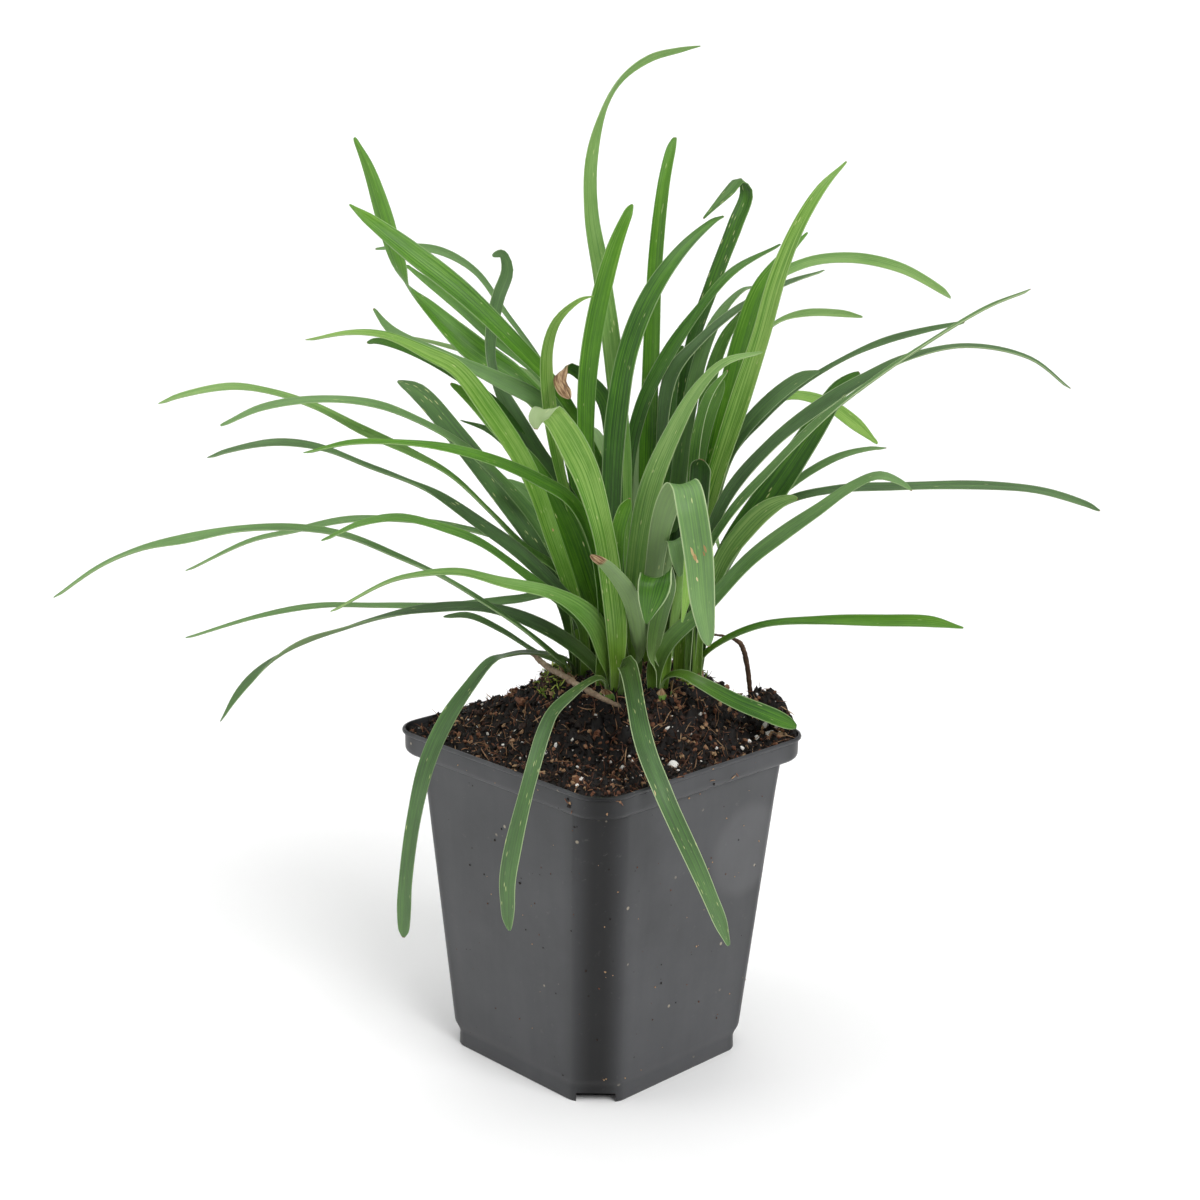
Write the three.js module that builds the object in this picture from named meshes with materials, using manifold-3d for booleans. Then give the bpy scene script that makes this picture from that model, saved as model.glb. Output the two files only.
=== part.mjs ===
// A liriope in a square black nursery pot: the pot, its soil, eight tufts of strap leaves,
// and the dry bits that lie on the soil.  Millimetres, +Z up, the origin at the middle of the
// pot's flat floor.  The pot stands on its corner: its four corners point along X and Y.
import * as THREE from 'three';
import Module from 'manifold-3d';

const wasm = await Module();
wasm.setup();

const CORNERS = 4;
const QUARTER = Math.PI / 2;
const EIGHTH = Math.PI / 4;
const FULL_TURN = Math.PI * 2;

// ---------------------------------------------------------------- driving dimensions

const POT_HEIGHT = 100;
const RIM_HALF = 45;             // half the width across the rim's flats
const RIM_CORNER = 10;           // radius of the rim's round corners
const RIM_BAND = 6.2;            // height of the rim's upright band
const RIM_LIP = 1.3;             // height of the lip along the band's top edge
const RIM_LIP_OUT = 0.6;         // how far the lip stands out from the band
const BODY_TOP_HALF = 42.4;       // half width of the body just under the rim
const BODY_TOP_DIAGONAL = 53.1;  // centre to the flat of a chamfered corner, under the rim
const BODY_LOW_HALF = 35.2;
const BODY_LOW_DIAGONAL = 43.6;
const FOOT_HALF = 34.3;
const FOOT_DIAGONAL = 41.8;
const FOOT_TOP = 8;              // height at which the body steps in to its foot
const FOOT_SWELL = [             // how far the foot has swollen to the body on the way up
  { height: 0, share: 0 },
  { height: 4.4, share: 0.08 },
  { height: 6.2, share: 0.55 },
  { height: FOOT_TOP, share: 1 },
];
const CHAMFER_ROUND = 4.5;       // rounding where a chamfer meets a side
const RIM_ROUND = 0.4;           // easing of the rim's top edge
const RIM_UNDERCUT = 1;          // how far the rim's lower edge steps in
const RIM_CORNER_STEPS = 7;
const CHAMFER_STEPS = 2;
const WALL = 1;
const FLOOR = 1.6;
const NOTCH_WIDTH = 11.4;
const NOTCH_HEIGHT = 2.7;
const NOTCH_REACH = 8;           // depth of the cut that makes a notch
const DRAIN_RADIUS = 4;
const DRAIN_PLACE = 18;          // a drain hole's distance from the middle, along X and Y
const DRAIN_SIDES = 16;

const GAP = 0.35;                // clearance between pieces that touch
const SOIL_EDGE = 98.6;          // height of the soil along the rim
const MOUND_RISE = 17.6;
const MOUND_CENTRE = [6.2, 7.3];
const MOUND_REACH = { left: 40, right: 45, front: 39, back: 42 };  // where the mound runs out
const MOUND_SLOPE = 0.6;         // share of that reach over which it rises
const CLODS = [
  { place: [49.8, 8.3], rise: 12.3, spread: 8.6 },
  { place: [-29.9, 15.3], rise: 4.8, spread: 12 },
];
const SOIL_RINGS = 12;
const SOIL_SECTORS = 36;
const SOIL_TOP_BED = 1.2;        // how far the soil under the rim reaches into the soil above it
const LUMP_RISE = 0.75;
const LUMP_WAVES = [
  { x: 0.71, y: 0.63, start: 1.3 },
  { x: 0.43, y: 0.43, start: 0.4 },
  { x: 1.13, y: -0.87, start: 0 },
];
const LUMP_AT_EDGE = 0.3;        // share of the lumps' rise that is left along the rim

const BLADE_THICKNESS = 0.7;
const CHANNEL = 0.13;            // depth of a blade's channel, as a share of its width
const BLADE_TOLERANCE = 0.72;    // how far a blade's straight steps may stray from its curve
const ROOT_DEPTH = 7;            // how far a blade runs down inside its tuft's crown
const ROOT_LEAN = 0.55;          // how far a root moves from the crown's middle to its leaf
const ROOT_WIDTH = 0.8;          // width of a root, as a share of the leaf's first width
const CROWN_DEPTH = 9;
const CROWN_RISE = 1.2;
const CROWN_FOOT = 0.7;          // width of the crown's foot and of its top, as shares
const CROWN_TOP = 0.8;
const CROWN_SIDES = 14;
const STEM_SIDES = 8;
const FRAME_STEPS = 6;           // frames between two points of a leaf's course
const LEAST_ACROSS = 0.35;       // below this a leaf points along the line of sight

// The leaves are drawn on an upright board that is looked at from a station in front of the
// plant.  The board is 1200 units wide and high, four units to the millimetre, square to the
// line of sight and turned a little about it; a point on it and a depth (Y) together give a
// point in space.
const STATION = new THREE.Vector3(-1.2, -600, 297);
const SIGHT_PITCH = THREE.MathUtils.degToRad(14.67);
const BOARD_TURN = THREE.MathUtils.degToRad(0.967);
const BOARD_DISTANCE = 528.5;
const BOARD_CENTRE = 600;
const BOARD_UNIT = 0.25;

// Leaves spread in depth as they reach out from the crown, but not where they hang past the rim.
const CROWN_ON_BOARD = { across: 620, down: 660, depth: 4 };
const DEPTH_SPREAD = 0.0022;     // growth of the depth for each unit away from the crown
const HANG_FROM = 690;
const HANG_OVER = 640;

// ---------------------------------------------------------------- leaves

// Each leaf: name, lean in degrees, depths spread along it, and its course from root to tip.
// A course point is [across, down, seen width] on the board, and a fourth number, where there
// is one, is the full width of a blade that is seen turned.  A seen width below zero shows the
// leaf's underside.  Lean turns the blade about its own length: above zero brings the upper
// side round to the right on a leaf that rises, below zero to the left.
const LEFT_LEAVES = [
  ['low_left_long', 30, [4.3, -10.7, -14.9, -16, -18.1, -21.3, -25.6, -29.8, -32],
    [[568, 668, 5, 10], [555, 656, 4, 11], [520, 627, 3, 12], [480, 600, 3, 13], [440, 576, 3, 14],
      [400, 558, 4, 15], [345, 536, 6, 16], [300, 529, 6, 16], [240, 530, 6, 16], [180, 541, 9, 15],
      [138, 550, 4, 12], [100, 566, 2, 8], [53, 598, 1, 3]]],
  ['low_left_stub', 30, [5.3, -2.1, -4.3],
    [[562, 666, 5, 9], [537, 653, 4, 10], [500, 630, 4, 11], [468, 616, 6, 11], [443, 617, 3, 6]]],
  ['left_drooper', 20, [5.3, 0, -12.8, -21.3, -25.6, -27.7, -26.7, -24.5, -23.5],
    [[572, 664, 5, 10], [555, 656, 3, 11], [530, 653, 3, 12], [510, 655, 3, 13], [492, 661, 5, 14],
      [470, 686, 12], [447, 720, 16], [428, 762, 16], [414, 820, 14], [406, 880, 13], [404.5, 906, 14],
      [404, 928, 11], [403.5, 938, 5]]],
  ['left_feather', 30, [6.4, 2.1, -4.3, -10.7, -17.1, -21.3],
    [[576, 662, 8], [574, 620, 8, 11], [560, 573, 8, 12], [525, 548, 5, 13], [490, 512, 3, 13],
      [450, 475, 3, 13], [408, 452, 8, 14], [360, 430, 9, 14], [315, 407, 7, 13], [270, 392, 4, 11],
      [230, 387, 8, 11], [180, 396, 4, 8], [158, 404, 1, 3]]],
  ['left_dark', 25, [4.3, -6.4, -12.8, -18.1, -23.5, -27.7],
    [[580, 664, 9], [575, 610, 12], [560, 592, 13], [520, 553, 14], [480, 524, 12], [440, 497, 9, 13],
      [412, 483, 1, 13], [370, 467, 4, 12], [320, 448, 6, 12], [275, 443, 7, 11], [228, 451, 4, 8],
      [207, 458, 1, 3]]],
  ['left_arch', 30, [7.5, 1.1, -6.4, -12.8, -18.1, -22.4],
    [[577, 658, 8], [571, 600, 10], [545, 535, 13], [500, 480, 10, 15], [460, 445, 6, 15],
      [420, 422, 6, 15], [375, 405, 7, 14], [320, 400, 7, 13], [262, 408, 6, 10], [220, 426, 3, 4]]],
  ['left_low_wave', 25, [3.2, -8.5, -17.1, -23.5, -27.7],
    [[584, 666, 8], [580, 622, 9], [560, 602, 9, 12], [520, 571, 8, 12], [480, 543, 7, 12],
      [445, 529, 8, 12], [400, 518, 8, 11], [360, 524, 5, 9], [321, 541, 2, 4]]],
  ['left_low_back', 30, [8.5, 3.2, -1.1, -4.3, -7.5, -10.7],
    [[573, 657, 8], [560, 605, 8, 11], [535, 565, 6, 12], [500, 540, 5, 13], [460, 528, 4, 13],
      [410, 521, 5, 13], [350, 520, 6, 12], [290, 532, 5, 11], [250, 541, 3, 8], [185, 571, 1, 2]]],
  ['left_low_mid', 28, [7.5, 4.3, 3.2, 2.1, -2.1, -5.3],
    [[580, 658, 8], [578, 615, 8], [560, 595, 7, 11], [515, 600, 8, 12], [450, 606, 6, 12],
      [380, 606, 4, 11], [320, 606, 5, 10], [260, 616, 4, 7], [185, 638, 1, 2]]],
  ['left_bright', 24, [5.3, -2.1, -8.5, -12.8, -14.9, -18.1, -21.3],
    [[584, 661, 12], [576, 610, 14], [553, 540, 16], [527, 470, 18], [490, 412, 20], [455, 368, 16],
      [430, 355, 14], [385, 336, 6, 12], [350, 333, 4, 9], [305, 340, 1, 2]]],
  ['left_thin_back', 20, [8.5, 13.9, 16, 14.9, 10.7],
    [[575, 655, 7], [560, 590, 8], [535, 500, 8], [515, 455, 8], [490, 431, 6], [460, 420, 1]]],
];

const LEFT_BACK_LEAVES = [
  ['wide_left', 22, [12.8, 7.5, 6.4, 6.4, 7.5, 8.5],
    [[600, 655, 9], [601, 635, 17], [585, 580, 25], [562, 518, 24], [528, 460, 15], [497, 430, 12],
      [470, 398, 12], [450, 383, 4]]],
  ['left_blunt', 25, [14.9, 8.5, 5.3, 2.1, 0],
    [[590, 652, 12], [575, 600, 16], [540, 548, 20], [498, 490, 21], [455, 435, 20], [418, 393, 17],
      [397, 381, 5]]],
  ['high_left_broad', 28, [16, 12.8, 7.5, 3.2, 2.1, 2.1, 4.3],
    [[600, 652, 9], [611, 540, 9], [603, 475, 9], [590, 445, 10], [556, 388, 12], [515, 344, 16],
      [462, 293, 20], [410, 252, 20], [368, 219, 11], [349, 204, 2]]],
  ['high_left_twisted', 22, [19.2, 21.3, 23.5, 26.7, 29.8],
    [[594, 648, 12], [584, 540, 17], [566, 440, 19], [520, 383, 22], [470, 347, 26], [425, 305, 12, 20],
      [410, 289, 4, 20], [396, 258, -15], [383, 215, -17], [368, 168, -11], [354, 137, -4]]],
  ['high_left_thread', 20, [18.1, 25.6, 32, 37.3],
    [[596, 646, 6], [590, 540, 7], [575, 430, 6], [541, 362, 4], [505, 312, 5], [476, 272, 6],
      [440, 251, 8], [400, 247, 6], [375, 249, 2]]],
  ['high_left_thin', 24, [20.3, 22.4, 26.7, 30.9],
    [[598, 647, 8], [592, 540, 9], [575, 440, 9], [541, 378, 8], [495, 340, 9], [462, 310, 9],
      [425, 280, 6], [406, 265, 3]]],
  ['high_left_hook', 18, [14.9, 12.8, 12.8, 14.9, 17.1, 14.9],
    [[602, 650, 12], [592, 545, 15], [572, 505, 16], [525, 437, 20], [493, 375, 9, 18],
      [489, 345, 10, 16], [497, 300, 13], [507, 270, 12], [502, 254, 8], [492, 256, 5]]],
  ['left_sheen', 26, [13.9, 9.6, 5.3, 3.2, 1.1, 0],
    [[604, 654, 10], [596, 540, 13], [580, 450, 15], [541, 403, 17], [498, 380, 15], [445, 355, 8],
      [392, 331, 9], [373, 308, 3]]],
  ['left_shadow', 22, [14.4, 13.9, 11.7, 4.3, -3.2, -8.5],
    [[592, 654, 8], [572, 560, 9], [540, 470, 9], [500, 408, 9], [450, 372, 8], [408, 350, 7],
      [378, 341, 6], [367, 343, 3]]],
  ['left_ghost', 20, [18.7, 26.7, 32, 34.1],
    [[590, 646, 6], [582, 520, 8], [566, 420, 9], [545, 387, -10], [505, 364, -6], [440, 344, -4],
      [410, 337, -2]]],
  ['left_grey', 20, [14.9, 8.5, 4.3, 2.1],
    [[586, 656, 9], [572, 590, 12], [543, 510, 14], [525, 492, 13], [505, 480, 6]]],
  ['inner_strap', 20, [13.3, 8.5, 2.1, -3.2, -5.3, -4.3],
    [[602, 655, 9], [588, 560, 9], [562, 480, 10], [549, 405, 14], [547, 350, 11], [558, 319, 8],
      [580, 300, 4], [594, 296, 1]]],
];

const FRONT_LEAVES = [
  ['front_sweep', 30, [-8.5, -13.9, -18.1, -21.3, -24.5, -27.7],
    [[611, 677, 10], [604, 650, 20], [590, 620, 22], [555, 596, 13, 20], [500, 583, 9, 17],
      [460, 573, 8, 15], [420, 575, 4, 13], [388, 582, 2, 10], [330, 612, 1, 3]]],
  ['front_dark_twist', 30, [-7.5, -6.4, -5.3, -6.4, -8.5, -10.7, -12.8],
    [[600, 675, 10], [586, 657, 14], [548, 630, 14], [490, 609, 10, 15], [430, 609, 9, 14],
      [380, 618, 3, 14], [340, 630, -1, 13], [305, 642, -6, 12], [280, 655, 0, 11], [248, 682, 8],
      [235, 698, 6], [220, 722, 1]]],
  ['front_cross', 32, [-8.5, -13.9, -19.2, -21.3, -24.5, -27.7, -30.9],
    [[600, 678, 9], [603, 620, 11], [594, 545, 12], [570, 500, 12], [540, 481, 12], [500, 463, 11],
      [450, 449, 8, 12], [400, 443, 5, 12], [350, 443, 4, 10], [303, 453, 1, 3]]],
  ['front_bright', 16, [-10.7, -16, -20.3, -23.5, -26.7, -29.8, -33],
    [[616, 677, 12], [616, 630, 21], [609, 570, 22], [602, 530, 22], [586, 475, 27], [572, 446, 29],
      [560, 426, 26], [550, 413, 22], [542, 411, -18], [536, 419, -15], [536, 430, -8]]],
  ['front_round', 20, [-9.6, -14.9, -18.1, -20.3],
    [[613, 674, 8], [616, 610, 11], [617, 560, 12], [618, 530, 14], [625, 507, 13], [630, 498, 5]]],
  ['front_left_drooper', 18,
    [-12.8, -14.9, -21.3, -30.9, -39.4, -46.9, -52.2, -55.4, -56.5, -55.4, -53.3, -52.2],
    [[606, 684, 6], [600, 678, 4, 8], [586, 684, 6, 10], [568, 698, 9, 13], [552, 714, 12],
      [543, 735, 14], [535, 762, 14], [526, 795, 14], [514, 845, 17], [508, 880, 16], [508, 905, 14],
      [508, 918, 11], [509.5, 931, 4]]],
  ['front_drooper', -18, [-11.9, -14.9, -22.4, -32, -40.5, -48, -54.4, -57.6, -59.7, -59.7, -57.6, -55.4],
    [[624, 682, 10], [626, 664, 18], [631, 680, 18], [636, 708, 18], [641, 733, 19], [648, 757, 19],
      [659, 784, 19], [671, 812, 18], [697, 868, 17], [710, 898, 15], [720, 922, 13], [729, 946, 4]]],
];

const CENTRE_LEAVES = [
  ['tallest', 24, [5.3, 7.5, 7.5, 8.5, 10.7, 13.9, 18.1, 21.3],
    [[630, 668, 10], [624, 560, 16], [621, 450, 18], [611, 345, 18], [601, 275, 17], [591, 215, 14],
      [591, 160, 12], [604, 108, 5, 9], [622, 78, 4, 8], [650, 58, 7], [680, 50, 5], [701, 46, 1]]],
  ['inner_left_rise', 22, [3.2, 0, 0, 0, 1.1, 3.2],
    [[624, 668, 9], [612, 600, 12], [600, 530, 14], [588, 480, 15], [586, 390, 18], [595, 320, 19],
      [613, 250, 15], [628, 213, 9], [633, 204, 3]]],
  ['dark_centre', -20, [0, -3.2, -3.2, 0, 4.3, 8.5, 12.8],
    [[625, 672, 12], [612, 600, 20], [612, 500, 20], [617, 420, 22], [629, 350, 20], [652, 293, 18],
      [682, 250, 12], [712, 222, 6], [724, 216, 2]]],
  ['pale_scarf', -20, [0, -6.4, -12.8, -16, -18.1, -19.2, -19.2],
    [[632, 672, 10], [633, 610, 17], [640, 540, 21], [652, 485, 22], [674, 432, 17], [699, 388, 12],
      [726, 362, 7, 10], [763, 352, 2, 4]]],
  ['dry_tipped', 14, [0.5, -12.8, -24.5, -30.9, -35.2, -37.3],
    [[636, 675, 10], [638, 640, -15], [634, 612, -16], [626, 590, -17], [608, 568, -12, 15],
      [598, 560, -8, 10], [590, 555, -3]]],
  ['brown_curl', 16, [3.4, 3.2, 3, 3, 3, 2.4, -0.6, -3.8, -6],
    [[625, 664, 8], [617, 560, 13], [613, 450, 16], [604, 400, 16], [585, 378, 13], [568, 368, 10],
      [560, 378, -12], [564, 390, -13], [570, 399, -6]]],
];

const CENTRE_BACK_LEAVES = [
  ['straight_bright', -24, [14.9, 13.9, 13.9, 14.9, 17.1, 21.3],
    [[648, 656, 9], [647, 560, 13], [648, 470, 17], [652, 350, 16], [656, 260, 14], [664, 185, 12],
      [671, 150, 9], [675, 137, 4]]],
  ['flecked_fold', -26, [16, 17.1, 17.1, 18.1, 20.3, 22.4, 20.3, 17.1],
    [[664, 654, 10], [673, 560, 12], [680, 460, 14], [690, 355, 13], [714, 282, 14], [736, 225, 15],
      [747, 193, 13], [741, 180, -8, 10], [728, 192, -9], [703, 219, -2]]],
  ['dark_arc', -22, [15.5, 13.9, 12.8, 10.7, 10.7, 12.8, 17.1],
    [[648, 656, 8], [632, 560, 10], [629, 470, 12], [643, 405, 14], [668, 355, 14], [698, 312, 9, 13],
      [733, 272, 7, 11], [781, 244, 2, 3]]],
  ['grey_arc', -25, [14.9, 12.8, 10.7, 10.7, 13.9, 18.1, 22.4],
    [[652, 658, 8], [656, 560, 9], [661, 450, 10], [672, 375, 14], [700, 341, 9, 13], [740, 308, 6, 11],
      [785, 284, 5, 9], [825, 270, 1, 2]]],
  ['grey_rise', -24, [18.1, 17.1, 14.9, 14.9, 18.1, 21.3],
    [[660, 656, 9], [672, 560, 14], [679, 480, 16], [691, 400, 15], [705, 346, 13], [722, 312, 9, 11],
      [743, 290, 4, 8], [755, 286, 1, 3]]],
  ['plain_rise', -22, [17.1, 13.9, 11.7, 12.8, 14.9],
    [[666, 660, 8], [688, 560, 10], [697, 470, 11], [708, 390, 13], [725, 338, 11], [748, 305, 4]]],
  ['short_dark', -18, [19.2, 21.3, 22.4, 22.4],
    [[656, 654, 7], [665, 560, 9], [669, 440, 10], [676, 368, 10], [683, 345, 4]]],
];

const RIGHT_FRONT_LEAVES = [
  ['hanging_strap', -12, [-6.4, -8.5, -11.7, -18.1, -25.6, -32, -38.4, -42.6, -45.8, -46.9, -45.8, -44.8],
    [[656, 677, 10], [654, 635, -15], [653, 590, -17], [658, 545, -20], [667, 508, -24],
      [679, 485, -26], [687, 489, 28], [691, 508, 30], [698, 555, 29], [702, 600, 25], [707, 635, 14],
      [709, 647, 4]]],
  ['folded_flap', -14, [-8.5, -13.9, -19.2, -22.4, -25.6, -28.8, -30.9, -32],
    [[652, 679, 10], [655, 640, -15], [661, 610, -19], [665, 590, -24], [661, 577, -29],
      [655, 582, 33], [651, 598, 27], [646, 624, 5]]],
  ['small_blunt', -14, [-4.3, -6.4, -9.6, -14.9, -19.2, -22.4, -23.5],
    [[660, 675, 8], [662, 620, -10], [665, 570, -13], [669, 547, -15], [675, 541, 15], [679, 556, 18],
      [680, 577, 7]]],
  ['torn_leaf', -28, [-7.5, -10.7, -14.9, -19.2, -22.4, -25.6, -27.7],
    [[656, 676, 12], [667, 645, 16], [705, 608, 14], [750, 560, 14], [785, 533, 14], [820, 509, 12],
      [852, 487, 9, 12], [880, 476, 8, 11], [903, 484, 5, 7], [912, 491, 2, 3]]],
  ['corner_leaf', -30, [-7.5, -10.7, -12.8, -11.7, -9.6, -7.5, -5.3, -3.2],
    [[664, 680, 6, 9], [680, 674, 7, 12], [700, 683, 12], [720, 694, 14], [740, 704, 15],
      [760, 712, 16], [780, 720, 15], [797, 727, 8]]],
  ['hidden_fold', -14, [-5.3, -8.5, -16, -22.4, -27.7, -30.9],
    [[666, 673, 8], [678, 600, -10], [690, 530, -12], [693, 516, -12], [691, 540, 12], [687, 592, 10],
      [682, 623, 2]]],
];

const RIGHT_LEAVES = [
  ['big_veined', -26, [3.2, 0, -2.1, -4.3, -5.3, -5.3, -3.2, 0],
    [[680, 673, 12], [683, 635, 14], [697, 545, 17], [718, 470, 18], [741, 400, 20], [762, 335, 18],
      [778, 278, 17], [798, 228, 13], [822, 188, 9], [847, 161, 2]]],
  ['saturated', -24, [7.5, 5.3, 4.3, 5.3, 7.5, 10.7],
    [[684, 666, 10], [694, 580, 14], [709, 480, 16], [727, 406, 21], [745, 335, 21], [762, 287, 16],
      [785, 256, 10], [808, 232, 2]]],
  ['light_arch', -25, [8, 9.6, 11.7, 13.9, 16, 19.2, 22.4],
    [[686, 663, 7], [696, 560, 8], [718, 460, 9], [744, 350, 9], [765, 288, 9, 11], [803, 264, 10],
      [850, 258, 10], [900, 268, 10], [942, 291, 6, 8], [951, 298, 2, 3]]],
  ['pale_arc', -28, [8, 13.9, 18.1, 21.3, 24.5],
    [[692, 663, 6], [700, 560, 7], [718, 460, 7], [745, 362, 6], [773, 325, 2, 8], [803, 314, 7, 10],
      [843, 314, 7, 9], [863, 317, 2]]],
  ['light_edged', -24, [4.3, 1.1, -4.3, -7.5, -8.5],
    [[679, 668, 7], [688, 580, 9], [692, 490, 10], [698, 430, 10], [710, 393, 8], [728, 370, 2]]],
  ['mid_short', -22, [5.3, 3.2, 1.1, 0],
    [[686, 668, 9], [694, 570, 13], [698, 465, 15], [708, 420, 14], [720, 390, 9], [724, 380, 5]]],
  ['dark_back_fold', -16, [2.1, -3.2, -7.5, -10.7],
    [[688, 672, 9], [695, 600, 15], [698, 520, 19], [701, 470, 21], [702, 459, 18]]],
  ['right_sheen', -28, [4.3, 0, -3.2, -6.4, -8.5],
    [[692, 668, 9], [704, 560, 12], [716, 486, 12], [737, 440, 13], [768, 404, 15], [800, 379, 12],
      [820, 371, 3]]],
  ['right_bright', -26, [7.5, 7.5, 8.5, 10.7, 12.8],
    [[690, 662, 8], [704, 560, 9], [728, 460, 9], [757, 415, 8], [785, 397, 8, 11], [818, 400, 11],
      [855, 424, 13], [878, 444, 3]]],
  ['right_dark_broad', -22, [3.2, -3.2, -7.5, -9.6, -10.7],
    [[694, 667, 10], [702, 610, 13], [732, 545, 20], [772, 493, 28], [808, 440, 24], [840, 390, 18],
      [860, 372, 7]]],
  ['right_long', -30, [1.1, -6.4, -11.7, -14.9, -18.1, -21.3, -25.6],
    [[691, 672, 8], [697, 600, 11], [722, 506, 12], [772, 444, 12], [828, 401, 13], [868, 377, 10, 13],
      [905, 359, 6, 12], [965, 346, 4, 10], [1030, 358, 2, 6], [1071, 389, 1, 2]]],
  ['right_edge_on', -30, [0, -9.6, -16, -20.3, -24.5, -28.8, -33],
    [[687, 677, 6], [700, 570, 7, 10], [728, 517, 8, 11], [770, 470, 8, 11], [815, 425, 7, 11],
      [850, 397, 3, 10], [910, 354, 2, 8], [985, 308, 2, 6], [1031, 289, 1, 2]]],
  ['right_short_thin', -28, [6.4, 3.2, 0, -3.2, -5.3],
    [[697, 664, 7], [716, 590, 7], [750, 530, 7], [785, 490, 7], [833, 459, 7], [868, 449, 4, 6],
      [887, 448, 1, 2]]],
  ['right_low_long', -30, [3.2, -1.1, -6.4, -10.7, -13.9, -18.1, -22.4],
    [[699, 669, 8], [712, 600, 9], [745, 535, 9], [785, 502, 8], [835, 490, 7, 12], [900, 487, 8, 12],
      [980, 486, 8, 12], [1040, 491, 7, 10], [1085, 504, 5, 7], [1100, 511, 2]]],
  ['right_pale_broad', -20, [0, -4.3, -10.7, -16, -19.2],
    [[697, 675, 9], [700, 630, 11], [722, 562, 17], [750, 525, 20], [770, 508, 17], [790, 499, 8],
      [798, 499, 4]]],
  ['low_right', -28, [4.3, 0, -4.3, -7.5, -10.7, -12.8],
    [[694, 674, 6], [703, 656, 5, 9], [727, 639, 5, 12], [765, 625, 6, 13], [820, 621, 8, 13],
      [880, 621, 12], [930, 622, 11], [964, 628, 2]]],
  ['right_thread', -28, [7.5, 4.3, 0, -4.3, -8.5, -11.7],
    [[692, 664, 5], [704, 560, 7], [730, 457, 7], [763, 418, 7], [800, 386, 5, 8], [842, 360, 3, 8],
      [885, 341, 7], [930, 329, 5], [965, 322, 3]]],
];

// A tuft: the middle of its crown in plan, the crown's two half widths and its leaves.
const TUFTS = {
  tuft_left: { crown: [-8.3, 5.3], half: [4.7, 4.9], leaves: LEFT_LEAVES },
  tuft_left_back: { crown: [-1.9, 16.4], half: [5.5, 4.9], leaves: LEFT_BACK_LEAVES },
  tuft_front: { crown: [2.3, -9.6], half: [6.4, 4.7], leaves: FRONT_LEAVES },
  tuft_centre: { crown: [8.3, 2.6], half: [4.7, 5.7], leaves: CENTRE_LEAVES },
  tuft_centre_back: { crown: [15.8, 17.5], half: [5.3, 4.9], leaves: CENTRE_BACK_LEAVES },
  tuft_right_front: { crown: [16.2, -7.5], half: [5.3, 4.9], leaves: RIGHT_FRONT_LEAVES },
  tuft_right: { crown: [25.8, 4.3], half: [5.3, 6.4], leaves: RIGHT_LEAVES },
};

// The leaves at the back arch away by a rule: bearing from +X in degrees, reach, rise, fall of
// the tip, and the share of the leaf at which the fall begins.  The last four lie low and hang
// over the rim.
const BACK_TUFT = { crown: [6.6, 30.3], half: [5.7, 4.7] };
const BACK_LEAVES = [
  [67, 82, 66, 46, 0.32], [71, 112, 70, 66, 0.35], [80, 70, 79, 15, 0.5], [88, 126, 58, 70, 0.25],
  [93, 92, 73, 36, 0.4], [103, 111, 64, 68, 0.3], [108, 62, 69, 13, 0.5], [106, 88, 57, 54, 0.3],
  [111, 58, 7, 64, 0.61], [97, 53, 9, 51, 0.52], [78, 55, 9, 62, 0.5], [65, 58, 8, 56, 0.55],
];
const BACK_WIDTH = 5.4;
const BACK_STEPS = 7;
const BACK_START = 2;            // distance from the crown's middle at which a leaf leaves it
const BACK_OPENING = 1.4;        // power by which a leaf's distance grows along it
const BACK_RISE_RATE = 1.3;      // the rise is over after this part of one leaf
const BACK_FALL_POWER = 1.8;
const BACK_WAIST = 0.6;          // width at a leaf's two ends, as a share of its middle
const BACK_TIP = 0.85;           // share of its width that the tip has lost
const BACK_TIP_POWER = 5;

// ---------------------------------------------------------------- solids

/** A closed geometry through rings of points, all of one count, with fan-shaped ends. */
function loft(rings) {
  const count = rings[0].length;
  const positions = rings.flat().flatMap((point) => [point.x, point.y, point.z]);
  const triangles = [];
  for (let ring = 0; ring < rings.length - 1; ring += 1) {
    for (let side = 0; side < count; side += 1) {
      const here = ring * count + side;
      const next = ring * count + ((side + 1) % count);
      triangles.push(here, next, next + count, here, next + count, here + count);
    }
  }
  const last = (rings.length - 1) * count;
  for (let side = 1; side < count - 1; side += 1) {
    triangles.push(0, side + 1, side);
    triangles.push(last, last + side, last + side + 1);
  }
  const geometry = new THREE.BufferGeometry();
  geometry.setAttribute('position', new THREE.Float32BufferAttribute(positions, 3));
  geometry.setIndex(triangles);
  return geometry;
}

/** The manifold solid of a closed geometry whose corners are already shared. */
function solidOf(geometry) {
  const position = geometry.getAttribute('position');
  return new wasm.Manifold(new wasm.Mesh({
    numProp: 3,
    vertProperties: Float32Array.from(position.array),
    triVerts: Uint32Array.from(geometry.index.array),
  }));
}

/** A named mesh from a manifold solid. */
function meshOf(name, solid, material) {
  const { vertProperties, triVerts } = solid.getMesh();
  const geometry = new THREE.BufferGeometry();
  geometry.setAttribute('position', new THREE.Float32BufferAttribute(vertProperties, 3));
  geometry.setIndex(Array.from(triVerts));
  geometry.computeVertexNormals();
  const mesh = new THREE.Mesh(geometry, material);
  mesh.name = name;
  return mesh;
}

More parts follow.
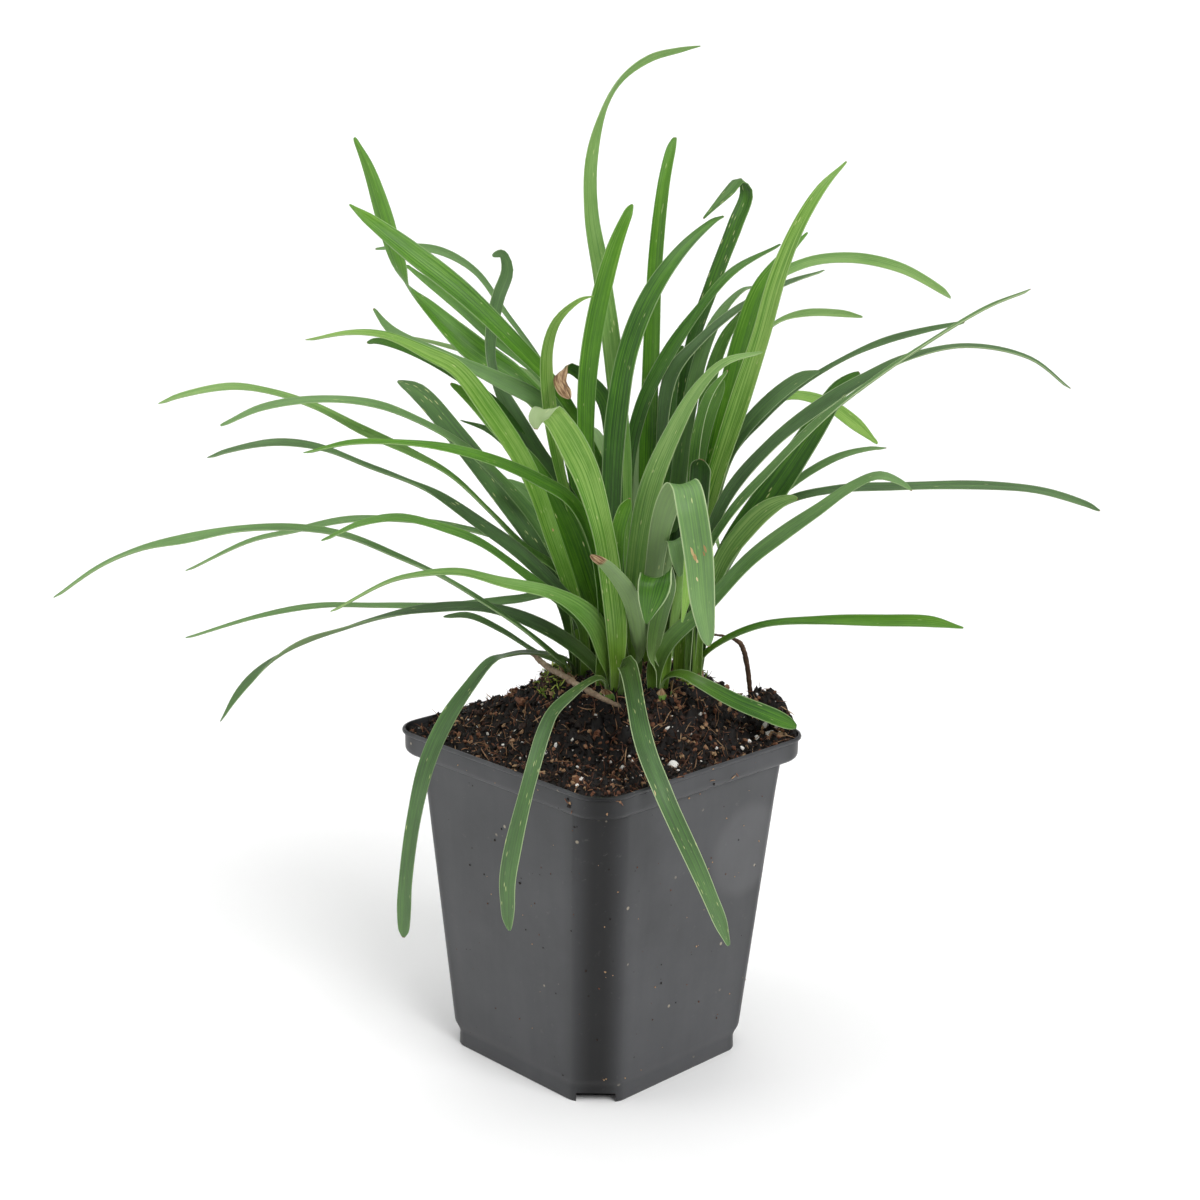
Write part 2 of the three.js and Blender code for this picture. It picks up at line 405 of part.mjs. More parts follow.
/** A closed tube of round section along points, with a radius at each. */
function rod(points, radii, sides) {
  const rings = points.map((point, index) => {
    const before = points[Math.max(index - 1, 0)];
    const after = points[Math.min(index + 1, points.length - 1)];
    const along = after.clone().sub(before).normalize();
    const across = new THREE.Vector3(0, 1, 0).cross(along).normalize();
    const up = along.clone().cross(across);
    return Array.from({ length: sides }, (_, side) => {
      const angle = (side / sides) * FULL_TURN;
      return point.clone()
        .addScaledVector(across, Math.cos(angle) * radii[index])
        .addScaledVector(up, Math.sin(angle) * radii[index]);
    });
  });
  return solidOf(loft(rings));
}

// ---------------------------------------------------------------- pot

/** Points round a corner of the diamond: an arc between two directions. */
function arc(centreX, centreY, radius, from, to, steps, z) {
  return Array.from({ length: steps + 1 }, (_, step) => {
    const angle = from + ((to - from) * step) / steps;
    return new THREE.Vector3(centreX + radius * Math.cos(angle), centreY + radius * Math.sin(angle), z);
  });
}

/** The rim's outline: a square with round corners, its corners on the axes. */
function rimRing(half, radius, z) {
  const centre = (half - radius) * Math.SQRT2;
  const points = [];
  for (let corner = 0; corner < CORNERS; corner += 1) {
    const bearing = corner * QUARTER;
    const x = centre * Math.cos(bearing);
    const y = centre * Math.sin(bearing);
    points.push(...arc(x, y, radius, bearing - EIGHTH, bearing + EIGHTH, RIM_CORNER_STEPS, z));
  }
  return points;
}

/** The body's outline: a square with chamfered corners, its eight edges slightly round. */
function bodyRing(half, diagonal, z) {
  const chamferHalf = half * Math.SQRT2 - diagonal;
  const ease = CHAMFER_ROUND * Math.tan(EIGHTH / 2);
  const points = [];
  for (let corner = 0; corner < CORNERS; corner += 1) {
    const bearing = corner * QUARTER;
    for (const side of [-1, 1]) {
      const inX = diagonal - CHAMFER_ROUND;
      const inY = side * (chamferHalf - ease);
      const x = inX * Math.cos(bearing) - inY * Math.sin(bearing);
      const y = inX * Math.sin(bearing) + inY * Math.cos(bearing);
      const from = side < 0 ? bearing - EIGHTH : bearing;
      points.push(...arc(x, y, CHAMFER_ROUND, from, from + EIGHTH, CHAMFER_STEPS, z));
    }
  }
  return points;
}

/** Half width and corner distance of the body at a height. */
function bodyAt(z) {
  const share = (z - FOOT_TOP) / (POT_HEIGHT - RIM_BAND - FOOT_TOP);
  return [
    THREE.MathUtils.lerp(BODY_LOW_HALF, BODY_TOP_HALF, share),
    THREE.MathUtils.lerp(BODY_LOW_DIAGONAL, BODY_TOP_DIAGONAL, share),
  ];
}

/** Half width and corner distance of the foot where it has swollen by a share. */
function footAt(share) {
  return [
    THREE.MathUtils.lerp(FOOT_HALF, BODY_LOW_HALF, share),
    THREE.MathUtils.lerp(FOOT_DIAGONAL, BODY_LOW_DIAGONAL, share),
  ];
}

/** The body's outline from the floor to a height under the rim, drawn in by a margin. */
function bodyRings(margin, floor, top) {
  const foot = FOOT_SWELL.map(({ height, share }) => [...footAt(share), Math.max(height, floor)]);
  return [...foot, [...bodyAt(top), top]].map(([half, diagonal, z]) => (
    bodyRing(half - margin, diagonal - margin, z)));
}

function makePot() {
  const shelf = POT_HEIGHT - RIM_BAND;
  const bandHalf = RIM_HALF - RIM_LIP_OUT;
  const body = solidOf(loft(bodyRings(0, 0, shelf)));
  const band = solidOf(loft([
    rimRing(bandHalf - RIM_UNDERCUT, RIM_CORNER, shelf - WALL),
    rimRing(bandHalf, RIM_CORNER, shelf),
    rimRing(bandHalf, RIM_CORNER, POT_HEIGHT - RIM_LIP),
    rimRing(RIM_HALF, RIM_CORNER, POT_HEIGHT - RIM_LIP + RIM_ROUND),
    rimRing(RIM_HALF, RIM_CORNER, POT_HEIGHT - RIM_ROUND),
    rimRing(RIM_HALF - RIM_ROUND, RIM_CORNER, POT_HEIGHT),
  ]));
  const cavity = solidOf(loft([
    ...bodyRings(WALL, FLOOR, shelf),
    bodyRing(BODY_TOP_HALF - WALL, BODY_TOP_DIAGONAL - WALL, shelf + WALL),
  ]));
  const mouth = solidOf(loft([
    rimRing(RIM_HALF - WALL, RIM_CORNER - WALL, shelf),
    rimRing(RIM_HALF - WALL, RIM_CORNER - WALL, POT_HEIGHT + WALL),
  ]));
  let pot = body.add(band).subtract(cavity).subtract(mouth);
  for (let corner = 0; corner < CORNERS; corner += 1) {
    const bearing = corner * QUARTER;
    const notch = new THREE.BoxGeometry(NOTCH_REACH, NOTCH_WIDTH, NOTCH_HEIGHT * 2);
    notch.translate(FOOT_DIAGONAL, 0, 0).rotateZ(bearing);
    const drain = new THREE.CylinderGeometry(DRAIN_RADIUS, DRAIN_RADIUS, FLOOR * 3, DRAIN_SIDES);
    drain.rotateX(QUARTER).translate(DRAIN_PLACE, 0, 0).rotateZ(bearing);
    pot = pot.subtract(solidOf(merged(notch))).subtract(solidOf(merged(drain)));
  }
  return pot;
}

/** A copy of a library shape with its doubled corners shared and nothing but positions. */
function merged(geometry) {
  const position = geometry.getAttribute('position');
  const corners = new Map();
  const points = [];
  const shared = Array.from({ length: position.count }, (_, index) => {
    const point = new THREE.Vector3().fromBufferAttribute(position, index);
    const key = point.toArray().map((value) => Math.round(value * 1e4)).join();
    if (!corners.has(key)) {
      corners.set(key, points.length);
      points.push(point);
    }
    return corners.get(key);
  });
  const triangles = [];
  for (let index = 0; index < geometry.index.count; index += 3) {
    const [a, b, c] = [0, 1, 2].map((step) => shared[geometry.index.getX(index + step)]);
    if (a !== b && b !== c && c !== a) {
      triangles.push(a, b, c);
    }
  }
  const result = new THREE.BufferGeometry().setFromPoints(points);
  result.setIndex(triangles);
  return result;
}

// ---------------------------------------------------------------- soil

/** Height of the soil at a point in plan, without its lumps. */
function soilHeight(x, y) {
  const out = x - MOUND_CENTRE[0];
  const back = y - MOUND_CENTRE[1];
  const reachX = out < 0 ? MOUND_REACH.left : MOUND_REACH.right;
  const reachY = back < 0 ? MOUND_REACH.front : MOUND_REACH.back;
  const away = Math.hypot(out / reachX, back / reachY);
  const mound = MOUND_RISE * THREE.MathUtils.smoothstep(1 - away, 0, MOUND_SLOPE);
  return CLODS.reduce((height, { place, rise, spread: width }) => {
    const share = Math.hypot(x - place[0], y - place[1]) / width;
    return height + rise * Math.exp(-share * share);
  }, SOIL_EDGE + mound);
}

/** Lumps of the soil's surface: three crossed waves, each with its turns per millimetre. */
function lump(x, y) {
  const [dice, drift, ripple] = LUMP_WAVES;
  const waves = Math.sin(x * dice.x + dice.start) * Math.cos(y * dice.y)
    + Math.sin(x * drift.x + y * drift.y + drift.start)
    + Math.cos(x * ripple.x + y * ripple.y + ripple.start);
  return LUMP_RISE * waves;
}

function makeSoil() {
  const shelf = POT_HEIGHT - RIM_BAND;
  const skirt = WALL + GAP;
  const core = solidOf(loft([
    ...bodyRings(skirt, FLOOR + GAP, shelf),
    bodyRing(BODY_TOP_HALF - skirt, BODY_TOP_DIAGONAL - skirt, shelf + SOIL_TOP_BED),
  ]));
  const outline = new THREE.Path();
  const [start, ...others] = rimRing(RIM_HALF - skirt, RIM_CORNER - skirt, 0);
  outline.moveTo(start.x, start.y);
  others.forEach((point) => outline.lineTo(point.x, point.y));
  outline.closePath();
  const edge = outline.getSpacedPoints(SOIL_SECTORS).slice(0, SOIL_SECTORS);
  const rings = [edge.map((point) => new THREE.Vector3(point.x, point.y, shelf + GAP))];
  for (let ring = 0; ring < SOIL_RINGS; ring += 1) {
    const share = 1 - ring / SOIL_RINGS;
    rings.push(edge.map((point) => {
      const x = THREE.MathUtils.lerp(MOUND_CENTRE[0], point.x, share);
      const y = THREE.MathUtils.lerp(MOUND_CENTRE[1], point.y, share);
      return new THREE.Vector3(x, y, soilHeight(x, y) + lump(x, y) * (ring ? 1 : LUMP_AT_EDGE));
    }));
  }
  let soil = core.add(solidOf(loft(rings)));
  for (const { crown, half } of [...Object.values(TUFTS), BACK_TUFT]) {
    soil = soil.subtract(crownSolid(crown, half, GAP));
  }
  return outerBody(soil.subtract(stemSolid(SHOOT, GAP)));
}

// ---------------------------------------------------------------- tufts

/** The buried crown that a tuft's leaves stand on, or with a margin the hole it fills. */
function crownSolid([x, y], [halfX, halfY], margin) {
  const ground = soilHeight(x, y);
  const top = ground + CROWN_RISE;
  const levels = margin
    ? [[1, ground - CROWN_DEPTH - margin], [1, top + CROWN_DEPTH]]
    : [
      [CROWN_FOOT, ground - CROWN_DEPTH],
      [1, ground - CROWN_DEPTH / 2],
      [1, ground],
      [CROWN_TOP, top],
    ];
  return solidOf(loft(levels.map(([share, z]) => Array.from({ length: CROWN_SIDES }, (_, side) => {
    const angle = (side / CROWN_SIDES) * FULL_TURN;
    return new THREE.Vector3(
      x + (halfX * share + margin) * Math.cos(angle),
      y + (halfY * share + margin) * Math.sin(angle),
      z,
    );
  }))));
}

/** A leaf's true depth at a point of the board, from the depth in its list. */
function reachedDepth(across, down, depth) {
  const { across: midAcross, down: midDown, depth: midDepth } = CROWN_ON_BOARD;
  const away = Math.hypot(across - midAcross, Math.min(down - midDown, 0));
  const free = 1 - THREE.MathUtils.smoothstep(down, HANG_OVER, HANG_FROM);
  return midDepth + (depth - midDepth) * (1 + DEPTH_SPREAD * away * free);
}

/** The point in space behind a point of the board, at a depth. */
function boardPoint(across, down, depth) {
  const spot = new THREE.Vector2(across - BOARD_CENTRE, BOARD_CENTRE - down).multiplyScalar(BOARD_UNIT);
  const { x: right, y: up } = spot.rotateAround(new THREE.Vector2(), BOARD_TURN);
  const ray = new THREE.Vector3(
    right,
    BOARD_DISTANCE * Math.cos(SIGHT_PITCH) + up * Math.sin(SIGHT_PITCH),
    -BOARD_DISTANCE * Math.sin(SIGHT_PITCH) + up * Math.cos(SIGHT_PITCH),
  );
  return STATION.clone().addScaledVector(ray, (depth - STATION.y) / ray.y);
}

/** A smooth value at a place (0 to 1) along evenly spread numbers. */
function spread(values, place) {
  const spot = place * (values.length - 1);
  const low = Math.min(Math.floor(spot), values.length - 2);
  const at = (index) => values[THREE.MathUtils.clamp(index, 0, values.length - 1)];
  const [before, from, to, after] = [at(low - 1), at(low), at(low + 1), at(low + 2)];
  const t = spot - low;
  return 0.5 * (2 * from + (to - before) * t + (2 * before - 5 * from + 4 * to - after) * t * t
    + (3 * from - before - 3 * to + after) * t * t * t);
}

/** Frames along a drawn leaf: place, side vector and full width at close steps. */
function drawnFrames([, lean, depths, course], crown) {
  const last = course.length - 1;
  const places = course.map(([across, down], index) => (
    boardPoint(across, down, reachedDepth(across, down, spread(depths, index / last)))));
  const leanAngle = THREE.MathUtils.degToRad(lean);
  const unit = (place) => place.distanceTo(STATION) * (BOARD_UNIT / BOARD_DISTANCE);
  const widths = course.map(([, , seen, full], index) => (
    (full ?? Math.abs(seen) / Math.cos(leanAngle)) * unit(places[index])));
  const sides = course.map(([, , seen], index) => {
    const along = places[Math.min(index + 1, last)].clone().sub(places[Math.max(index - 1, 0)]).normalize();
    const sight = places[index].clone().sub(STATION).normalize();
    const across = along.clone().cross(sight);
    if (across.length() < LEAST_ACROSS) {
      return null;
    }
    across.normalize();
    const facing = along.clone().cross(across);
    const share = THREE.MathUtils.clamp((seen * unit(places[index])) / widths[index], -1, 1);
    const turn = Math.acos(share) * Math.sign(lean);
    return across.multiplyScalar(Math.cos(turn)).addScaledVector(facing, Math.sin(turn));
  });
  sides.forEach((side, index) => {
    if (!side) {
      const before = sides.slice(0, index).reverse().find(Boolean);
      const after = sides.slice(index + 1).find(Boolean) ?? before;
      sides[index] = before.clone().add(after).normalize();
    }
  });
  const root = new THREE.Vector3(
    THREE.MathUtils.lerp(crown[0], places[0].x, ROOT_LEAN),
    THREE.MathUtils.lerp(crown[1], places[0].y, ROOT_LEAN),
    soilHeight(crown[0], crown[1]) - ROOT_DEPTH,
  );
  places.unshift(root);
  sides.unshift(sides[0].clone());
  widths.unshift(widths[0] * ROOT_WIDTH);
  return smoothFrames(places, sides, widths);
}

/** Frames of a leaf at the back, which arches away over its bearing. */
function archedFrames([bearing, reach, rise, fall, fallFrom], [crownX, crownY]) {
  const angle = THREE.MathUtils.degToRad(bearing);
  const out = new THREE.Vector3(Math.cos(angle), Math.sin(angle), 0);
  const side = new THREE.Vector3(0, 0, -1).cross(out);
  const ground = soilHeight(crownX, crownY);
  const places = [new THREE.Vector3(crownX, crownY, ground - ROOT_DEPTH)];
  const widths = [BACK_WIDTH / 2];
  for (let step = 0; step <= BACK_STEPS; step += 1) {
    const share = step / BACK_STEPS;
    const falling = Math.max(share - fallFrom, 0) / (1 - fallFrom);
    const risen = Math.sin(Math.min(share * BACK_RISE_RATE, 1) * QUARTER);
    const height = rise * risen - fall * falling ** BACK_FALL_POWER;
    const away = BACK_START + (reach - BACK_START) * share ** BACK_OPENING;
    places.push(new THREE.Vector3(crownX, crownY, ground + height).addScaledVector(out, away));
    const belly = BACK_WAIST + (1 - BACK_WAIST) * Math.sin(share * Math.PI);
    widths.push(BACK_WIDTH * belly * (1 - BACK_TIP * share ** BACK_TIP_POWER));
  }
  return smoothFrames(places, places.map(() => side.clone()), widths);
}

/** Close frames on the smooth curve through a leaf's own points. */
function smoothFrames(places, sides, widths) {
  const curve = new THREE.CatmullRomCurve3(places, false, 'centripetal');
  const steps = (places.length - 1) * FRAME_STEPS;
  return Array.from({ length: steps + 1 }, (_, step) => {
    const share = step / steps;
    const spot = share * (places.length - 1);
    const low = Math.min(Math.floor(spot), places.length - 2);
    const along = curve.getTangent(share);
    const side = sides[low].clone().lerp(sides[low + 1], spot - low);
    side.addScaledVector(along, -side.dot(along)).normalize();
    return { place: curve.getPoint(share), side, along, half: spread(widths, share) / 2 };
  });
}

/** Drops the frames that a blade's straight steps can do without. */
function thinned(frames) {
  const edges = ({ place, side, half }) => (
    [-1, 1].map((hand) => place.clone().addScaledVector(side, hand * half)));
  const outer = frames.map(edges);
  const keep = new Set([0, frames.length - 1]);
  const split = (from, to) => {
    let worst = 0;
    let worstIndex = 0;
    for (let index = from + 1; index < to; index += 1) {
      const stray = Math.max(...[0, 1].map((hand) => (
        new THREE.Line3(outer[from][hand], outer[to][hand])
          .closestPointToPoint(outer[index][hand], true, new THREE.Vector3())
          .distanceTo(outer[index][hand]))));
      if (stray > worst) {
        worst = stray;
        worstIndex = index;
      }
    }
    if (worst > BLADE_TOLERANCE) {
      keep.add(worstIndex);
      split(from, worstIndex);
      split(worstIndex, to);
    }
  };
  split(0, frames.length - 1);
  return [...keep].sort((a, b) => a - b).map((index) => frames[index]);
}

/** A channelled blade over its frames, its two faces split into triangles alike. */
function bladeSolid(frames) {
  const positions = [];
  for (const { place, side, along, half } of frames) {
    const up = along.clone().cross(side);
    const lift = CHANNEL * half * 2;
    const section = [
      [-half, lift], [0, 0], [half, lift],
      [half, lift - BLADE_THICKNESS], [0, -BLADE_THICKNESS], [-half, lift - BLADE_THICKNESS],
    ];
    section.forEach(([out, high]) => {
      positions.push(...place.clone().addScaledVector(side, out).addScaledVector(up, high).toArray());
    });
  }
  const count = positions.length / (frames.length * 3);
  const triangles = [];
  for (let ring = 0; ring < frames.length - 1; ring += 1) {
    for (let step = 0; step < count; step += 1) {
      const here = ring * count + step;
      const next = ring * count + ((step + 1) % count);
      const under = step >= count / 2 && step < count - 1;
      triangles.push(...(under
        ? [here, here + count, next, next, here + count, next + count]
        : [here, here + count, next + count, here, next + count, next]));
    }
  }
  const last = (frames.length - 1) * count;
  const end = [[1, 2, 3], [1, 3, 4], [1, 4, 5], [1, 5, 0]];
  end.forEach(([a, b, c]) => triangles.push(a, b, c, last + a, last + c, last + b));
  const geometry = new THREE.BufferGeometry();
  geometry.setAttribute('position', new THREE.Float32BufferAttribute(positions, 3));
  geometry.setIndex(triangles);
  return solidOf(geometry);
}

/** The one body of a fused solid, with any hollow that its leaves seal between them filled. */
function outerBody(solid) {
  return solid.decompose().reduce((most, piece) => (piece.volume() > most.volume() ? piece : most));
}

/** A tuft: its crown with every leaf fused to it. */
function makeTuft(crown, half, frameSets) {
  return outerBody(frameSets.reduce(
    (tuft, frames) => tuft.add(bladeSolid(thinned(frames))),
    crownSolid(crown, half, 0),
  ));
}

// ---------------------------------------------------------------- dry bits on the soil

// Places along each piece as [across, down, depth] on the board, and its radius there.
const TWIG = {
  course: [[528, 649, 11.7], [545, 665, 5.3], [562, 675, -5.9], [580, 686, -14.4],
    [600, 697, -19.7], [620, 706, -24]],
  radii: [0.8, 0.95, 0.9, 0.9, 0.85, 0.6],
};
const SHOOT = {
  course: [[684, 674, 13.9], [687, 655, 14.4], [694, 640, 13.9], [708, 635, 13.3], [728, 637, 12.8],
    [740, 643, 12.3], [745, 655, 11.7], [748, 672, 11.7], [750, 690, 11.7], [751, 706, 11.7]],
  radii: [0.4, 0.4, 0.4, 0.4, 0.45, 0.75, 0.85, 0.85, 0.8, 0.7],
};

/** A dry stem along its course, larger all round by a margin where it cuts its hole. */
function stemSolid({ course, radii }, margin) {
  const places = course.map((spot) => boardPoint(...spot));
  const end = places.length - 1;
  const stretch = (from, to) => to.add(to.clone().sub(from).setLength(margin));
  if (margin) {
    stretch(places[1], places[0]);
    stretch(places[end - 1], places[end]);
  }
  return rod(places, radii.map((radius) => radius + margin), STEM_SIDES);
}

// ---------------------------------------------------------------- the part

const finish = (color, roughness) => new THREE.MeshStandardMaterial({ color, roughness, metalness: 0 });

const part = new THREE.Group();
part.add(meshOf('pot', makePot(), finish(0x3e4042, 0.45)));
part.add(meshOf('soil', makeSoil(), finish(0x35241a, 0.95)));
for (const [name, { crown, half, leaves }] of Object.entries(TUFTS)) {
  const frameSets = leaves.map((leaf) => drawnFrames(leaf, crown));
  part.add(meshOf(name, makeTuft(crown, half, frameSets), finish(0x4f7f2d, 0.5)));
}
const backFrames = BACK_LEAVES.map((leaf) => archedFrames(leaf, BACK_TUFT.crown));
part.add(meshOf('tuft_back', makeTuft(BACK_TUFT.crown, BACK_TUFT.half, backFrames), finish(0x4f7f2d, 0.5)));

part.add(meshOf('twig', stemSolid(TWIG, 0), finish(0x8a7560, 0.9)));
part.add(meshOf('dry_shoot', stemSolid(SHOOT, 0), finish(0x4a372b, 0.85)));

export default part;
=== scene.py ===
"""A liriope in its square nursery pot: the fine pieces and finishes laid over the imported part."""

import math
import random

import bpy
import numpy as np
from mathutils import Matrix, Vector, noise
from mathutils.bvhtree import BVHTree


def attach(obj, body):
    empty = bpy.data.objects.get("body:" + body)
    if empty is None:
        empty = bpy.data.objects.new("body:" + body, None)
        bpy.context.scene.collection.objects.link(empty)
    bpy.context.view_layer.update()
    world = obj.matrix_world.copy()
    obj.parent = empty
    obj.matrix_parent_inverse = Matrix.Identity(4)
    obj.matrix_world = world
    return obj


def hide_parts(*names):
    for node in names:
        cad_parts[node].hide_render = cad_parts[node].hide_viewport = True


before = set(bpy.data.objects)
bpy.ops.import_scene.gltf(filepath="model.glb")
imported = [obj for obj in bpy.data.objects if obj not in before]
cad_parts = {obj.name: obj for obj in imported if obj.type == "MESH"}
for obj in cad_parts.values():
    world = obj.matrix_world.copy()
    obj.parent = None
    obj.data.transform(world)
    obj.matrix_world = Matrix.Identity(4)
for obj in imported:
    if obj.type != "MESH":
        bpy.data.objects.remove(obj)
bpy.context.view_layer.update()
bpy.ops.object.select_all(action="DESELECT")

MM = 0.001  # lengths below are in millimetres until a mesh is filled

# ---------------------------------------------------------------- the part's own sizes

POT_HEIGHT = 100
RIM_HALF = 45
RIM_CORNER = 10
RIM_BAND = 6.2
RIM_LIP = 1.3
RIM_LIP_OUT = 0.6
BODY_TOP = (42.4, 53.1)  # half width across the flats, centre to a chamfered corner
BODY_LOW = (35.2, 43.6)
FOOT = (34.3, 41.8)
FOOT_TOP = 8
CHAMFER_ROUND = 4.5
WALL = 1
FLOOR = 1.6
NOTCH = (11.4, 2.7)
DRAIN_RADIUS = 4
DRAIN_PLACE = 18

REFLECTION_PLACE = (44.0, -14.5, 68.0)  # middle of a painted reflection on the pot's side, a soft lighter patch
REFLECTION_REACH = (11.5, 17.0)         # where the patch starts to fade, and where it ends

GAP = 0.35
SOIL_EDGE = 98.6
MOUND_RISE = 17.6
MOUND_CENTRE = (6.2, 7.3)
MOUND_REACH = (40, 45, 39, 42)  # to the left, the right, the front and the back
MOUND_SLOPE = 0.6
CLODS = ((49.8, 8.3, 12.3, 8.6), (-29.9, 15.3, 4.8, 12))
LUMP_RISE = 0.75

CHANNEL = 0.13
ROOT_DEPTH = 7
STATION = np.array([-1.2, -600.0, 297.0])
SIGHT_PITCH = math.radians(14.67)
BOARD_TURN = math.radians(0.967)
BOARD_DISTANCE = 528.5
BOARD_CENTRE = 600
BOARD_UNIT = 0.25
CROWN_ON_BOARD = (620, 660, 4)
DEPTH_SPREAD = 0.0022
HANG_FROM = 690
HANG_OVER = 640

# ---------------------------------------------------------------- leaves

# Each leaf: name, lean in degrees, depths along it, and its course from root to tip.  A course
# point is [across, down, seen width] on an upright board, and where the blade is seen turned,
# its full width.  A seen width below zero shows the leaf's underside.
LEFT_LEAVES = [
  ['low_left_long', 30, [4.3, -10.7, -14.9, -16, -18.1, -21.3, -25.6, -29.8, -32],
    [[568, 668, 5, 10], [555, 656, 4, 11], [520, 627, 3, 12], [480, 600, 3, 13], [440, 576, 3, 14],
      [400, 558, 4, 15], [345, 536, 6, 16], [300, 529, 6, 16], [240, 530, 6, 16], [180, 541, 9, 15],
      [138, 550, 4, 12], [100, 566, 2, 8], [53, 598, 1, 3]]],
  ['low_left_stub', 30, [5.3, -2.1, -4.3],
    [[562, 666, 5, 9], [537, 653, 4, 10], [500, 630, 4, 11], [468, 616, 6, 11], [443, 617, 3, 6]]],
  ['left_drooper', 20, [5.3, 0, -12.8, -21.3, -25.6, -27.7, -26.7, -24.5, -23.5],
    [[572, 664, 5, 10], [555, 656, 3, 11], [530, 653, 3, 12], [510, 655, 3, 13], [492, 661, 5, 14],
      [470, 686, 12], [447, 720, 16], [428, 762, 16], [414, 820, 14], [406, 880, 13], [404.5, 906, 14],
      [404, 928, 11], [403.5, 938, 5]]],
  ['left_feather', 30, [6.4, 2.1, -4.3, -10.7, -17.1, -21.3],
    [[576, 662, 8], [574, 620, 8, 11], [560, 573, 8, 12], [525, 548, 5, 13], [490, 512, 3, 13],
      [450, 475, 3, 13], [408, 452, 8, 14], [360, 430, 9, 14], [315, 407, 7, 13], [270, 392, 4, 11],
      [230, 387, 8, 11], [180, 396, 4, 8], [158, 404, 1, 3]]],
  ['left_dark', 25, [4.3, -6.4, -12.8, -18.1, -23.5, -27.7],
    [[580, 664, 9], [575, 610, 12], [560, 592, 13], [520, 553, 14], [480, 524, 12], [440, 497, 9, 13],
      [412, 483, 1, 13], [370, 467, 4, 12], [320, 448, 6, 12], [275, 443, 7, 11], [228, 451, 4, 8],
      [207, 458, 1, 3]]],
  ['left_arch', 30, [7.5, 1.1, -6.4, -12.8, -18.1, -22.4],
    [[577, 658, 8], [571, 600, 10], [545, 535, 13], [500, 480, 10, 15], [460, 445, 6, 15],
      [420, 422, 6, 15], [375, 405, 7, 14], [320, 400, 7, 13], [262, 408, 6, 10], [220, 426, 3, 4]]],
  ['left_low_wave', 25, [3.2, -8.5, -17.1, -23.5, -27.7],
    [[584, 666, 8], [580, 622, 9], [560, 602, 9, 12], [520, 571, 8, 12], [480, 543, 7, 12],
      [445, 529, 8, 12], [400, 518, 8, 11], [360, 524, 5, 9], [321, 541, 2, 4]]],
  ['left_low_back', 30, [8.5, 3.2, -1.1, -4.3, -7.5, -10.7],
    [[573, 657, 8], [560, 605, 8, 11], [535, 565, 6, 12], [500, 540, 5, 13], [460, 528, 4, 13],
      [410, 521, 5, 13], [350, 520, 6, 12], [290, 532, 5, 11], [250, 541, 3, 8], [185, 571, 1, 2]]],
  ['left_low_mid', 28, [7.5, 4.3, 3.2, 2.1, -2.1, -5.3],
    [[580, 658, 8], [578, 615, 8], [560, 595, 7, 11], [515, 600, 8, 12], [450, 606, 6, 12],
      [380, 606, 4, 11], [320, 606, 5, 10], [260, 616, 4, 7], [185, 638, 1, 2]]],
  ['left_bright', 24, [5.3, -2.1, -8.5, -12.8, -14.9, -18.1, -21.3],
    [[584, 661, 12], [576, 610, 14], [553, 540, 16], [527, 470, 18], [490, 412, 20], [455, 368, 16],
      [430, 355, 14], [385, 336, 6, 12], [350, 333, 4, 9], [305, 340, 1, 2]]],
  ['left_thin_back', 20, [8.5, 13.9, 16, 14.9, 10.7],
    [[575, 655, 7], [560, 590, 8], [535, 500, 8], [515, 455, 8], [490, 431, 6], [460, 420, 1]]],
]

